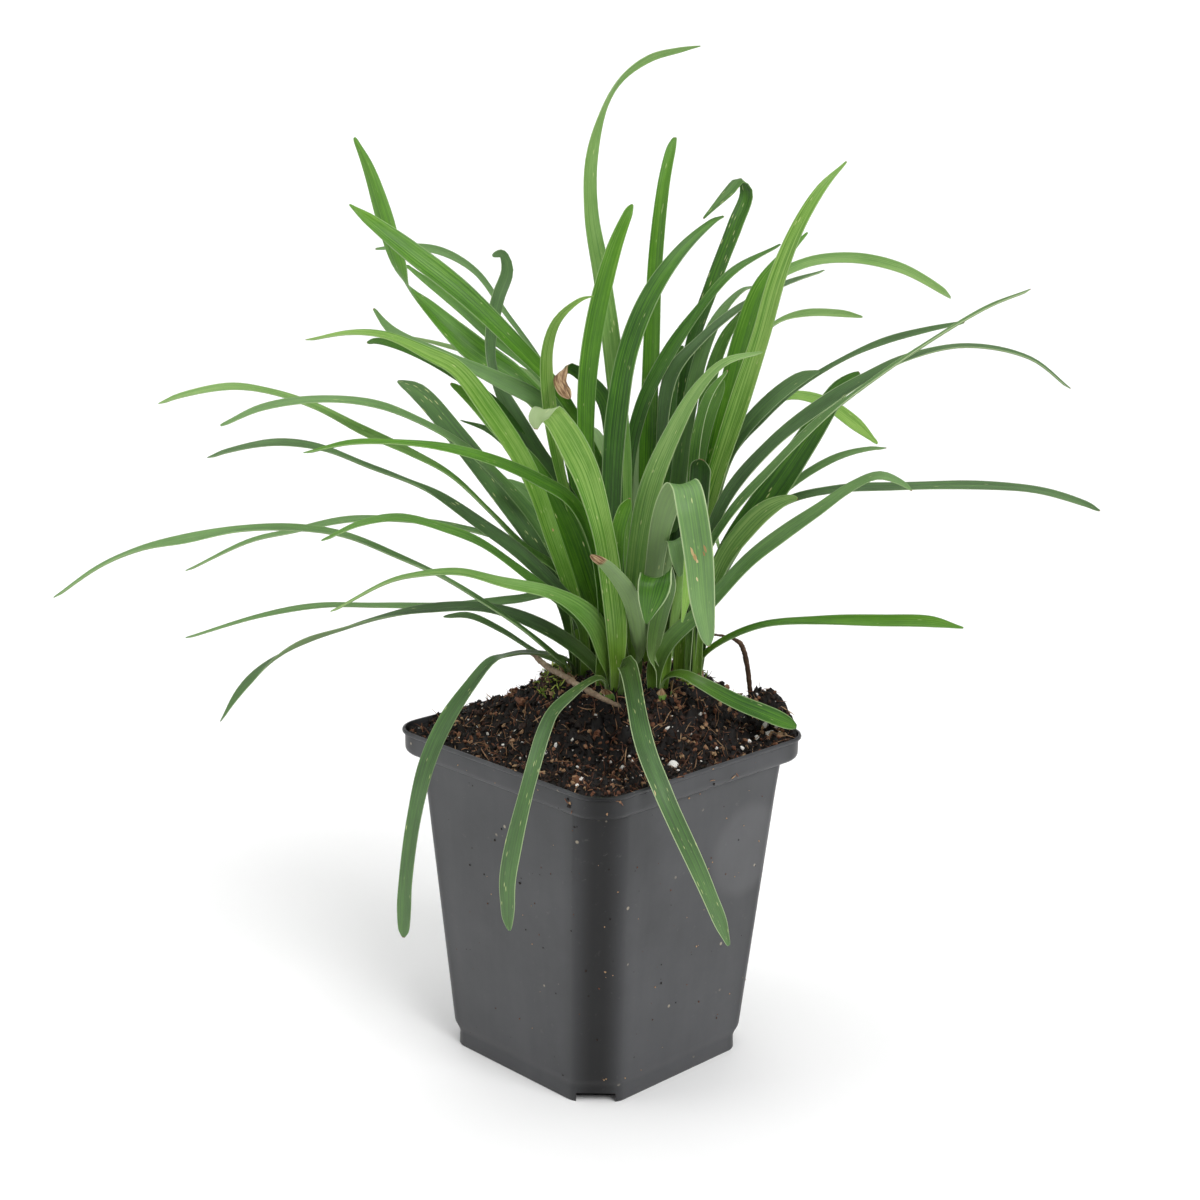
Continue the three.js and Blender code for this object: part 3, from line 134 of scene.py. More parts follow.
LEFT_BACK_LEAVES = [
  ['wide_left', 22, [12.8, 7.5, 6.4, 6.4, 7.5, 8.5],
    [[600, 655, 9], [601, 635, 17], [585, 580, 25], [562, 518, 24], [528, 460, 15], [497, 430, 12],
      [470, 398, 12], [450, 383, 4]]],
  ['left_blunt', 25, [14.9, 8.5, 5.3, 2.1, 0],
    [[590, 652, 12], [575, 600, 16], [540, 548, 20], [498, 490, 21], [455, 435, 20], [418, 393, 17],
      [397, 381, 5]]],
  ['high_left_broad', 28, [16, 12.8, 7.5, 3.2, 2.1, 2.1, 4.3],
    [[600, 652, 9], [611, 540, 9], [603, 475, 9], [590, 445, 10], [556, 388, 12], [515, 344, 16],
      [462, 293, 20], [410, 252, 20], [368, 219, 11], [349, 204, 2]]],
  ['high_left_twisted', 22, [19.2, 21.3, 23.5, 26.7, 29.8],
    [[594, 648, 12], [584, 540, 17], [566, 440, 19], [520, 383, 22], [470, 347, 26], [425, 305, 12, 20],
      [410, 289, 4, 20], [396, 258, -15], [383, 215, -17], [368, 168, -11], [354, 137, -4]]],
  ['high_left_thread', 20, [18.1, 25.6, 32, 37.3],
    [[596, 646, 6], [590, 540, 7], [575, 430, 6], [541, 362, 4], [505, 312, 5], [476, 272, 6],
      [440, 251, 8], [400, 247, 6], [375, 249, 2]]],
  ['high_left_thin', 24, [20.3, 22.4, 26.7, 30.9],
    [[598, 647, 8], [592, 540, 9], [575, 440, 9], [541, 378, 8], [495, 340, 9], [462, 310, 9],
      [425, 280, 6], [406, 265, 3]]],
  ['high_left_hook', 18, [14.9, 12.8, 12.8, 14.9, 17.1, 14.9],
    [[602, 650, 12], [592, 545, 15], [572, 505, 16], [525, 437, 20], [493, 375, 9, 18],
      [489, 345, 10, 16], [497, 300, 13], [507, 270, 12], [502, 254, 8], [492, 256, 5]]],
  ['left_sheen', 26, [13.9, 9.6, 5.3, 3.2, 1.1, 0],
    [[604, 654, 10], [596, 540, 13], [580, 450, 15], [541, 403, 17], [498, 380, 15], [445, 355, 8],
      [392, 331, 9], [373, 308, 3]]],
  ['left_shadow', 22, [14.4, 13.9, 11.7, 4.3, -3.2, -8.5],
    [[592, 654, 8], [572, 560, 9], [540, 470, 9], [500, 408, 9], [450, 372, 8], [408, 350, 7],
      [378, 341, 6], [367, 343, 3]]],
  ['left_ghost', 20, [18.7, 26.7, 32, 34.1],
    [[590, 646, 6], [582, 520, 8], [566, 420, 9], [545, 387, -10], [505, 364, -6], [440, 344, -4],
      [410, 337, -2]]],
  ['left_grey', 20, [14.9, 8.5, 4.3, 2.1],
    [[586, 656, 9], [572, 590, 12], [543, 510, 14], [525, 492, 13], [505, 480, 6]]],
  ['inner_strap', 20, [13.3, 8.5, 2.1, -3.2, -5.3, -4.3],
    [[602, 655, 9], [588, 560, 9], [562, 480, 10], [549, 405, 14], [547, 350, 11], [558, 319, 8],
      [580, 300, 4], [594, 296, 1]]],
]

FRONT_LEAVES = [
  ['front_sweep', 30, [-8.5, -13.9, -18.1, -21.3, -24.5, -27.7],
    [[611, 677, 10], [604, 650, 20], [590, 620, 22], [555, 596, 13, 20], [500, 583, 9, 17],
      [460, 573, 8, 15], [420, 575, 4, 13], [388, 582, 2, 10], [330, 612, 1, 3]]],
  ['front_dark_twist', 30, [-7.5, -6.4, -5.3, -6.4, -8.5, -10.7, -12.8],
    [[600, 675, 10], [586, 657, 14], [548, 630, 14], [490, 609, 10, 15], [430, 609, 9, 14],
      [380, 618, 3, 14], [340, 630, -1, 13], [305, 642, -6, 12], [280, 655, 0, 11], [248, 682, 8],
      [235, 698, 6], [220, 722, 1]]],
  ['front_cross', 32, [-8.5, -13.9, -19.2, -21.3, -24.5, -27.7, -30.9],
    [[600, 678, 9], [603, 620, 11], [594, 545, 12], [570, 500, 12], [540, 481, 12], [500, 463, 11],
      [450, 449, 8, 12], [400, 443, 5, 12], [350, 443, 4, 10], [303, 453, 1, 3]]],
  ['front_bright', 16, [-10.7, -16, -20.3, -23.5, -26.7, -29.8, -33],
    [[616, 677, 12], [616, 630, 21], [609, 570, 22], [602, 530, 22], [586, 475, 27], [572, 446, 29],
      [560, 426, 26], [550, 413, 22], [542, 411, -18], [536, 419, -15], [536, 430, -8]]],
  ['front_round', 20, [-9.6, -14.9, -18.1, -20.3],
    [[613, 674, 8], [616, 610, 11], [617, 560, 12], [618, 530, 14], [625, 507, 13], [630, 498, 5]]],
  ['front_left_drooper', 18,
    [-12.8, -14.9, -21.3, -30.9, -39.4, -46.9, -52.2, -55.4, -56.5, -55.4, -53.3, -52.2],
    [[606, 684, 6], [600, 678, 4, 8], [586, 684, 6, 10], [568, 698, 9, 13], [552, 714, 12],
      [543, 735, 14], [535, 762, 14], [526, 795, 14], [514, 845, 17], [508, 880, 16], [508, 905, 14],
      [508, 918, 11], [509.5, 931, 4]]],
  ['front_drooper', -18, [-11.9, -14.9, -22.4, -32, -40.5, -48, -54.4, -57.6, -59.7, -59.7, -57.6, -55.4],
    [[624, 682, 10], [626, 664, 18], [631, 680, 18], [636, 708, 18], [641, 733, 19], [648, 757, 19],
      [659, 784, 19], [671, 812, 18], [697, 868, 17], [710, 898, 15], [720, 922, 13], [729, 946, 4]]],
]

CENTRE_LEAVES = [
  ['tallest', 24, [5.3, 7.5, 7.5, 8.5, 10.7, 13.9, 18.1, 21.3],
    [[630, 668, 10], [624, 560, 16], [621, 450, 18], [611, 345, 18], [601, 275, 17], [591, 215, 14],
      [591, 160, 12], [604, 108, 5, 9], [622, 78, 4, 8], [650, 58, 7], [680, 50, 5], [701, 46, 1]]],
  ['inner_left_rise', 22, [3.2, 0, 0, 0, 1.1, 3.2],
    [[624, 668, 9], [612, 600, 12], [600, 530, 14], [588, 480, 15], [586, 390, 18], [595, 320, 19],
      [613, 250, 15], [628, 213, 9], [633, 204, 3]]],
  ['dark_centre', -20, [0, -3.2, -3.2, 0, 4.3, 8.5, 12.8],
    [[625, 672, 12], [612, 600, 20], [612, 500, 20], [617, 420, 22], [629, 350, 20], [652, 293, 18],
      [682, 250, 12], [712, 222, 6], [724, 216, 2]]],
  ['pale_scarf', -20, [0, -6.4, -12.8, -16, -18.1, -19.2, -19.2],
    [[632, 672, 10], [633, 610, 17], [640, 540, 21], [652, 485, 22], [674, 432, 17], [699, 388, 12],
      [726, 362, 7, 10], [763, 352, 2, 4]]],
  ['dry_tipped', 14, [0.5, -12.8, -24.5, -30.9, -35.2, -37.3],
    [[636, 675, 10], [638, 640, -15], [634, 612, -16], [626, 590, -17], [608, 568, -12, 15],
      [598, 560, -8, 10], [590, 555, -3]]],
  ['brown_curl', 16, [3.4, 3.2, 3, 3, 3, 2.4, -0.6, -3.8, -6],
    [[625, 664, 8], [617, 560, 13], [613, 450, 16], [604, 400, 16], [585, 378, 13], [568, 368, 10],
      [560, 378, -12], [564, 390, -13], [570, 399, -6]]],
]

CENTRE_BACK_LEAVES = [
  ['straight_bright', -24, [14.9, 13.9, 13.9, 14.9, 17.1, 21.3],
    [[648, 656, 9], [647, 560, 13], [648, 470, 17], [652, 350, 16], [656, 260, 14], [664, 185, 12],
      [671, 150, 9], [675, 137, 4]]],
  ['flecked_fold', -26, [16, 17.1, 17.1, 18.1, 20.3, 22.4, 20.3, 17.1],
    [[664, 654, 10], [673, 560, 12], [680, 460, 14], [690, 355, 13], [714, 282, 14], [736, 225, 15],
      [747, 193, 13], [741, 180, -8, 10], [728, 192, -9], [703, 219, -2]]],
  ['dark_arc', -22, [15.5, 13.9, 12.8, 10.7, 10.7, 12.8, 17.1],
    [[648, 656, 8], [632, 560, 10], [629, 470, 12], [643, 405, 14], [668, 355, 14], [698, 312, 9, 13],
      [733, 272, 7, 11], [781, 244, 2, 3]]],
  ['grey_arc', -25, [14.9, 12.8, 10.7, 10.7, 13.9, 18.1, 22.4],
    [[652, 658, 8], [656, 560, 9], [661, 450, 10], [672, 375, 14], [700, 341, 9, 13], [740, 308, 6, 11],
      [785, 284, 5, 9], [825, 270, 1, 2]]],
  ['grey_rise', -24, [18.1, 17.1, 14.9, 14.9, 18.1, 21.3],
    [[660, 656, 9], [672, 560, 14], [679, 480, 16], [691, 400, 15], [705, 346, 13], [722, 312, 9, 11],
      [743, 290, 4, 8], [755, 286, 1, 3]]],
  ['plain_rise', -22, [17.1, 13.9, 11.7, 12.8, 14.9],
    [[666, 660, 8], [688, 560, 10], [697, 470, 11], [708, 390, 13], [725, 338, 11], [748, 305, 4]]],
  ['short_dark', -18, [19.2, 21.3, 22.4, 22.4],
    [[656, 654, 7], [665, 560, 9], [669, 440, 10], [676, 368, 10], [683, 345, 4]]],
]

RIGHT_FRONT_LEAVES = [
  ['hanging_strap', -12, [-6.4, -8.5, -11.7, -18.1, -25.6, -32, -38.4, -42.6, -45.8, -46.9, -45.8, -44.8],
    [[656, 677, 10], [654, 635, -15], [653, 590, -17], [658, 545, -20], [667, 508, -24],
      [679, 485, -26], [687, 489, 28], [691, 508, 30], [698, 555, 29], [702, 600, 25], [707, 635, 14],
      [709, 647, 4]]],
  ['folded_flap', -14, [-8.5, -13.9, -19.2, -22.4, -25.6, -28.8, -30.9, -32],
    [[652, 679, 10], [655, 640, -15], [661, 610, -19], [665, 590, -24], [661, 577, -29],
      [655, 582, 33], [651, 598, 27], [646, 624, 5]]],
  ['small_blunt', -14, [-4.3, -6.4, -9.6, -14.9, -19.2, -22.4, -23.5],
    [[660, 675, 8], [662, 620, -10], [665, 570, -13], [669, 547, -15], [675, 541, 15], [679, 556, 18],
      [680, 577, 7]]],
  ['torn_leaf', -28, [-7.5, -10.7, -14.9, -19.2, -22.4, -25.6, -27.7],
    [[656, 676, 12], [667, 645, 16], [705, 608, 14], [750, 560, 14], [785, 533, 14], [820, 509, 12],
      [852, 487, 9, 12], [880, 476, 8, 11], [903, 484, 5, 7], [912, 491, 2, 3]]],
  ['corner_leaf', -30, [-7.5, -10.7, -12.8, -11.7, -9.6, -7.5, -5.3, -3.2],
    [[664, 680, 6, 9], [680, 674, 7, 12], [700, 683, 12], [720, 694, 14], [740, 704, 15],
      [760, 712, 16], [780, 720, 15], [797, 727, 8]]],
  ['hidden_fold', -14, [-5.3, -8.5, -16, -22.4, -27.7, -30.9],
    [[666, 673, 8], [678, 600, -10], [690, 530, -12], [693, 516, -12], [691, 540, 12], [687, 592, 10],
      [682, 623, 2]]],
]

RIGHT_LEAVES = [
  ['big_veined', -26, [3.2, 0, -2.1, -4.3, -5.3, -5.3, -3.2, 0],
    [[680, 673, 12], [683, 635, 14], [697, 545, 17], [718, 470, 18], [741, 400, 20], [762, 335, 18],
      [778, 278, 17], [798, 228, 13], [822, 188, 9], [847, 161, 2]]],
  ['saturated', -24, [7.5, 5.3, 4.3, 5.3, 7.5, 10.7],
    [[684, 666, 10], [694, 580, 14], [709, 480, 16], [727, 406, 21], [745, 335, 21], [762, 287, 16],
      [785, 256, 10], [808, 232, 2]]],
  ['light_arch', -25, [8, 9.6, 11.7, 13.9, 16, 19.2, 22.4],
    [[686, 663, 7], [696, 560, 8], [718, 460, 9], [744, 350, 9], [765, 288, 9, 11], [803, 264, 10],
      [850, 258, 10], [900, 268, 10], [942, 291, 6, 8], [951, 298, 2, 3]]],
  ['pale_arc', -28, [8, 13.9, 18.1, 21.3, 24.5],
    [[692, 663, 6], [700, 560, 7], [718, 460, 7], [745, 362, 6], [773, 325, 2, 8], [803, 314, 7, 10],
      [843, 314, 7, 9], [863, 317, 2]]],
  ['light_edged', -24, [4.3, 1.1, -4.3, -7.5, -8.5],
    [[679, 668, 7], [688, 580, 9], [692, 490, 10], [698, 430, 10], [710, 393, 8], [728, 370, 2]]],
  ['mid_short', -22, [5.3, 3.2, 1.1, 0],
    [[686, 668, 9], [694, 570, 13], [698, 465, 15], [708, 420, 14], [720, 390, 9], [724, 380, 5]]],
  ['dark_back_fold', -16, [2.1, -3.2, -7.5, -10.7],
    [[688, 672, 9], [695, 600, 15], [698, 520, 19], [701, 470, 21], [702, 459, 18]]],
  ['right_sheen', -28, [4.3, 0, -3.2, -6.4, -8.5],
    [[692, 668, 9], [704, 560, 12], [716, 486, 12], [737, 440, 13], [768, 404, 15], [800, 379, 12],
      [820, 371, 3]]],
  ['right_bright', -26, [7.5, 7.5, 8.5, 10.7, 12.8],
    [[690, 662, 8], [704, 560, 9], [728, 460, 9], [757, 415, 8], [785, 397, 8, 11], [818, 400, 11],
      [855, 424, 13], [878, 444, 3]]],
  ['right_dark_broad', -22, [3.2, -3.2, -7.5, -9.6, -10.7],
    [[694, 667, 10], [702, 610, 13], [732, 545, 20], [772, 493, 28], [808, 440, 24], [840, 390, 18],
      [860, 372, 7]]],
  ['right_long', -30, [1.1, -6.4, -11.7, -14.9, -18.1, -21.3, -25.6],
    [[691, 672, 8], [697, 600, 11], [722, 506, 12], [772, 444, 12], [828, 401, 13], [868, 377, 10, 13],
      [905, 359, 6, 12], [965, 346, 4, 10], [1030, 358, 2, 6], [1071, 389, 1, 2]]],
  ['right_edge_on', -30, [0, -9.6, -16, -20.3, -24.5, -28.8, -33],
    [[687, 677, 6], [700, 570, 7, 10], [728, 517, 8, 11], [770, 470, 8, 11], [815, 425, 7, 11],
      [850, 397, 3, 10], [910, 354, 2, 8], [985, 308, 2, 6], [1031, 289, 1, 2]]],
  ['right_short_thin', -28, [6.4, 3.2, 0, -3.2, -5.3],
    [[697, 664, 7], [716, 590, 7], [750, 530, 7], [785, 490, 7], [833, 459, 7], [868, 449, 4, 6],
      [887, 448, 1, 2]]],
  ['right_low_long', -30, [3.2, -1.1, -6.4, -10.7, -13.9, -18.1, -22.4],
    [[699, 669, 8], [712, 600, 9], [745, 535, 9], [785, 502, 8], [835, 490, 7, 12], [900, 487, 8, 12],
      [980, 486, 8, 12], [1040, 491, 7, 10], [1085, 504, 5, 7], [1100, 511, 2]]],
  ['right_pale_broad', -20, [0, -4.3, -10.7, -16, -19.2],
    [[697, 675, 9], [700, 630, 11], [722, 562, 17], [750, 525, 20], [770, 508, 17], [790, 499, 8],
      [798, 499, 4]]],
  ['low_right', -28, [4.3, 0, -4.3, -7.5, -10.7, -12.8],
    [[694, 674, 6], [703, 656, 5, 9], [727, 639, 5, 12], [765, 625, 6, 13], [820, 621, 8, 13],
      [880, 621, 12], [930, 622, 11], [964, 628, 2]]],
  ['right_thread', -28, [7.5, 4.3, 0, -4.3, -8.5, -11.7],
    [[692, 664, 5], [704, 560, 7], [730, 457, 7], [763, 418, 7], [800, 386, 5, 8], [842, 360, 3, 8],
      [885, 341, 7], [930, 329, 5], [965, 322, 3]]],
]

# A tuft: the middle of its crown in plan, the crown's two half widths and its leaves.
TUFTS = {
  "tuft_left": ([-8.3, 5.3], [4.7, 4.9], LEFT_LEAVES),
  "tuft_left_back": ([-1.9, 16.4], [5.5, 4.9], LEFT_BACK_LEAVES),
  "tuft_front": ([2.3, -9.6], [6.4, 4.7], FRONT_LEAVES),
  "tuft_centre": ([8.3, 2.6], [4.7, 5.7], CENTRE_LEAVES),
  "tuft_centre_back": ([15.8, 17.5], [5.3, 4.9], CENTRE_BACK_LEAVES),
  "tuft_right_front": ([16.2, -7.5], [5.3, 4.9], RIGHT_FRONT_LEAVES),
  "tuft_right": ([25.8, 4.3], [5.3, 6.4], RIGHT_LEAVES),
}

# The leaves at the back arch away by a rule: bearing from +X in degrees, reach, rise, fall of
# the tip, and the share of the leaf at which the fall begins.  The last four lie low and hang
# over the rim.
BACK_TUFT = ([6.6, 30.3], [5.7, 4.7])
BACK_LEAVES = [
  [67, 82, 66, 46, 0.32], [71, 112, 70, 66, 0.35], [80, 70, 79, 15, 0.5], [88, 126, 58, 70, 0.25],
  [93, 92, 73, 36, 0.4], [103, 111, 64, 68, 0.3], [108, 62, 69, 13, 0.5], [106, 88, 57, 54, 0.3],
  [111, 58, 7, 64, 0.61], [97, 53, 9, 51, 0.52], [78, 55, 9, 62, 0.5], [65, 58, 8, 56, 0.55],
]
BACK_WIDTH = 5.4
BACK_STEPS = 7

# The coats a leaf can wear: tone (dark to bright) and bloom (grey waxy coat).
COATS = {
  "deep": (0.0, 0.1), "dark": (0.25, 0.05), "dark_grey": (0.15, 0.4), "clean": (0.45, 0.0), "mid": (0.4, 0.2),
  "mid_grey": (0.4, 0.6), "fresh": (0.7, 0.1), "fresh_grey": (0.65, 0.45),
}
# Finish of each leaf: coat, veins, pale edge, flecks.
LOOKS = {
  "low_left_long": ("mid_grey", 0.3, 0.3, 0.0), "low_left_stub": ("mid_grey", 0.3, 0.2, 0.0),
  "left_drooper": ("dark_grey", 0.35, 0.25, 0.05), "left_feather": ("fresh_grey", 0.3, 0.3, 0.15),
  "left_dark": ("dark_grey", 0.3, 0.2, 0.0), "left_arch": ("mid_grey", 0.3, 0.3, 0.15),
  "left_low_wave": ("mid", 0.3, 0.3, 0.0), "left_low_back": ("mid_grey", 0.3, 0.4, 0.0),
  "left_low_mid": ("mid_grey", 0.3, 0.2, 0.0), "left_bright": ("fresh", 0.45, 0.3, 0.15),
  "left_thin_back": ("mid_grey", 0.2, 0.2, 0.0), "wide_left": ("clean", 0.4, 0.3, 0.1),
  "left_blunt": ("dark_grey", 0.3, 0.2, 0.8), "high_left_broad": ("clean", 0.4, 0.35, 0.1),
  "high_left_twisted": ("clean", 0.3, 0.3, 0.1), "high_left_thread": ("mid_grey", 0.2, 0.2, 0.0),
  "high_left_thin": ("mid", 0.2, 0.2, 0.1), "high_left_hook": ("dark_grey", 0.3, 0.3, 0.0),
  "left_sheen": ("mid_grey", 0.3, 0.3, 0.1), "left_shadow": ("dark", 0.2, 0.2, 0.0),
  "left_ghost": ("fresh_grey", 0.2, 0.2, 0.0), "left_grey": ("mid_grey", 0.3, 0.2, 0.0),
  "inner_strap": ("fresh", 0.8, 0.3, 0.0), "front_sweep": ("fresh_grey", 0.4, 0.3, 0.0),
  "front_dark_twist": ("dark_grey", 0.3, 0.3, 0.0), "front_cross": ("clean", 0.3, 0.3, 0.05),
  "front_bright": ("fresh", 0.7, 0.4, 0.2), "front_round": ("clean", 0.3, 0.3, 0.0),
  "front_left_drooper": ("dark_grey", 0.4, 0.6, 0.4), "front_drooper": ("dark_grey", 0.4, 0.9, 0.35),
  "tallest": ("fresh_grey", 0.4, 0.25, 0.05), "inner_left_rise": ("clean", 0.3, 0.3, 0.1),
  "dark_centre": ("dark", 0.4, 0.4, 0.05), "pale_scarf": ("fresh_grey", 0.8, 0.5, 0.1),
  "dry_tipped": ("mid_grey", 0.5, 0.3, 0.0), "brown_curl": ("dark", 0.3, 0.2, 0.0),
  "straight_bright": ("clean", 0.3, 0.2, 0.1), "flecked_fold": ("dark", 0.3, 0.25, 1.0),
  "dark_arc": ("dark", 0.3, 0.3, 0.1), "grey_arc": ("dark_grey", 0.3, 0.6, 0.0),
  "grey_rise": ("mid_grey", 0.3, 0.3, 0.1), "plain_rise": ("mid", 0.3, 0.3, 0.1),
  "short_dark": ("dark", 0.3, 0.2, 0.7), "hanging_strap": ("mid_grey", 0.4, 0.9, 0.15),
  "folded_flap": ("dark", 0.35, 1.0, 0.0), "small_blunt": ("mid_grey", 0.3, 0.8, 0.0),
  "torn_leaf": ("mid_grey", 0.4, 0.3, 0.0), "corner_leaf": ("dark", 0.45, 0.5, 0.0),
  "hidden_fold": ("fresh", 0.3, 0.3, 0.0), "big_veined": ("fresh", 1.0, 0.35, 0.25),
  "saturated": ("clean", 0.3, 0.25, 0.05), "light_arch": ("fresh_grey", 0.3, 0.5, 0.0),
  "pale_arc": ("fresh_grey", 0.3, 0.3, 0.0), "light_edged": ("mid", 0.3, 1.0, 0.0),
  "mid_short": ("mid", 0.3, 0.3, 0.1), "dark_back_fold": ("deep", 0.2, 0.6, 0.0),
  "right_sheen": ("dark_grey", 0.3, 0.3, 0.0), "right_bright": ("fresh", 0.4, 0.3, 0.0),
  "right_dark_broad": ("dark", 0.35, 0.35, 0.0), "right_long": ("dark_grey", 0.3, 0.6, 0.0),
  "right_edge_on": ("mid_grey", 0.3, 0.9, 0.0), "right_short_thin": ("mid_grey", 0.2, 0.2, 0.0),
  "right_low_long": ("dark_grey", 0.3, 0.3, 0.0), "right_pale_broad": ("fresh_grey", 0.9, 0.35, 0.0),
  "low_right": ("clean", 0.35, 0.35, 0.0), "right_thread": ("dark_grey", 0.2, 0.2, 0.0),
}
# Share of the leaf at which its tip has dried, and how brown it is there.
DRIED = {"dry_tipped": (0.93, 1.0), "brown_curl": (0.88, 0.9), "pale_scarf": (0.95, 0.25)}
BACKS = {"front_bright": 0.95, "flecked_fold": 0.1, "high_left_twisted": 0.05}
TIP_AT = 1.2       # the width at this distance from the end sets how a tip closes
LEAF_GREENS = ((0.0, "#142c08"), (0.33, "#305d14"), (0.66, "#568b1f"), (1.0, "#8cb152"))
VEINS = 7         # ribs side by side across a blade
ACROSS = 10       # faces across a blade
ROW_STEP = 2.0    # length of a blade's faces
TIP_REACH = 5.0   # stretch at the tip with closer faces
TIP_ROWS = (0.82, 0.64, 0.48, 0.34, 0.22, 0.12, 0.05, 0.012)
BODY = 0.5        # thickness of a blade along its middle
THIN_EDGE = 0.3   # share of that thickness left at its edges


def eased(low, high, value):
    """0 below low, 1 above high and a smooth step between them."""
    t = np.clip((value - low) / (high - low), 0, 1)
    return t * t * (3 - 2 * t)


def unit(vector):
    return vector / np.linalg.norm(vector, axis=-1, keepdims=True)


def spread(values, place):
    """A smooth value at a place (0 to 1) along evenly spread numbers."""
    spot = place * (len(values) - 1)
    low = min(int(spot), len(values) - 2)
    before, start, end, after = (values[min(max(low + k, 0), len(values) - 1)] for k in (-1, 0, 1, 2))
    t = spot - low
    return 0.5 * (2 * start + (end - before) * t + (2 * before - 5 * start + 4 * end - after) * t * t
                  + (3 * start - before - 3 * end + after) * t ** 3)


def board_point(across, down, depth):
    """The point in space behind a point of the board, at a depth."""
    out, below = (across - BOARD_CENTRE) * BOARD_UNIT, (down - BOARD_CENTRE) * BOARD_UNIT
    right = out * math.cos(BOARD_TURN) + below * math.sin(BOARD_TURN)
    up = out * math.sin(BOARD_TURN) - below * math.cos(BOARD_TURN)
    ray = np.array([right,
                    BOARD_DISTANCE * math.cos(SIGHT_PITCH) + up * math.sin(SIGHT_PITCH),
                    -BOARD_DISTANCE * math.sin(SIGHT_PITCH) + up * math.cos(SIGHT_PITCH)])
    return STATION + ray * ((depth - STATION[1]) / ray[1])


def reached_depth(across, down, depth):
    """A leaf's true depth at a point of the board, from the depth in its list."""
    middle, base, centre = CROWN_ON_BOARD
    away = math.hypot(across - middle, min(down - base, 0))
    free = 1 - eased(HANG_OVER, HANG_FROM, down)
    return centre + (depth - centre) * (1 + DEPTH_SPREAD * away * free)


def soil_height(x, y):
    """Height of the soil without its lumps."""
    out, back = x - MOUND_CENTRE[0], y - MOUND_CENTRE[1]
    left, right, front, rear = MOUND_REACH
    away = math.hypot(out / (left if out < 0 else right), back / (front if back < 0 else rear))
    height = SOIL_EDGE + MOUND_RISE * float(eased(0, MOUND_SLOPE, 1 - away))
    for clod_x, clod_y, rise, width in CLODS:
        height += rise * math.exp(-((x - clod_x) ** 2 + (y - clod_y) ** 2) / width ** 2)
    return height


def curve_spot(points, place):
    """A point on the smooth curve through points, its knots spaced by the roots of their distances."""
    last = len(points) - 1
    low = min(int(place * last), last - 1)
    t = place * last - low
    start, end = points[low], points[low + 1]
    before = points[low - 1] if low else 2 * start - end
    after = points[low + 2] if low + 2 <= last else 2 * end - start
    gap_in, gap, gap_out = (math.sqrt(np.linalg.norm(b - a))
                            for a, b in ((before, start), (start, end), (end, after)))
    leave = ((start - before) / gap_in - (end - before) / (gap_in + gap) + (end - start) / gap) * gap
    arrive = ((end - start) / gap - (after - start) / (gap + gap_out) + (after - end) / gap_out) * gap
    return (start + leave * t + (-3 * start + 3 * end - 2 * leave - arrive) * t * t
            + (2 * start - 2 * end + leave + arrive) * t ** 3)


def drawn_course(leaf, crown):
    """Places, side vectors and full widths of a drawn leaf at its own points, the root first."""
    _, lean, depths, course = leaf
    last = len(course) - 1
    lean = math.radians(lean)
    places = [board_point(p[0], p[1], reached_depth(p[0], p[1], spread(depths, i / last)))
              for i, p in enumerate(course)]
    sides, widths = [], []
    for i, point in enumerate(course):
        scale = np.linalg.norm(places[i] - STATION) * BOARD_UNIT / BOARD_DISTANCE
        full = point[3] if len(point) > 3 else abs(point[2]) / math.cos(lean)
        widths.append(full * scale)
        along = unit(places[min(i + 1, last)] - places[max(i - 1, 0)])
        across = np.cross(along, unit(places[i] - STATION))
        if np.linalg.norm(across) < 0.35:
            sides.append(None)
            continue
        across = unit(across)
        turn = math.acos(min(max(point[2] / full, -1), 1)) * math.copysign(1, lean)
        sides.append(across * math.cos(turn) + np.cross(along, across) * math.sin(turn))
    for i, side in enumerate(sides):
        if side is None:
            before = next(s for s in reversed(sides[:i]) if s is not None)
            after = next((s for s in sides[i + 1:] if s is not None), before)
            sides[i] = unit(before + after)
    root = np.array([crown[0] * 0.45 + places[0][0] * 0.55, crown[1] * 0.45 + places[0][1] * 0.55,
                     soil_height(*crown) - ROOT_DEPTH])
    return [root, *places], [sides[0], *sides], [widths[0] * 0.8, *widths]


def arched_course(rule, crown):
    """The same for a leaf at the back, which arches away over its bearing."""
    bearing, reach, rise, fall, fall_from = rule
    angle = math.radians(bearing)
    out = np.array([math.cos(angle), math.sin(angle), 0.0])
    ground = soil_height(*crown)
    places, widths = [np.array([*crown, ground - ROOT_DEPTH])], [BACK_WIDTH * 0.5]
    for step in range(BACK_STEPS + 1):
        share = step / BACK_STEPS
        falling = max(share - fall_from, 0) / (1 - fall_from)
        height = rise * math.sin(min(share * 1.3, 1) * math.pi / 2) - fall * falling ** 1.8
        away = 2 + (reach - 2) * share ** 1.4
        places.append(np.array([*crown, ground + height]) + out * away)
        widths.append(BACK_WIDTH * (0.6 + 0.4 * math.sin(share * math.pi)) * (1 - share ** 5 * 0.85))
    side = np.cross([0.0, 0.0, -1.0], out)
    return places, [side] * len(places), widths


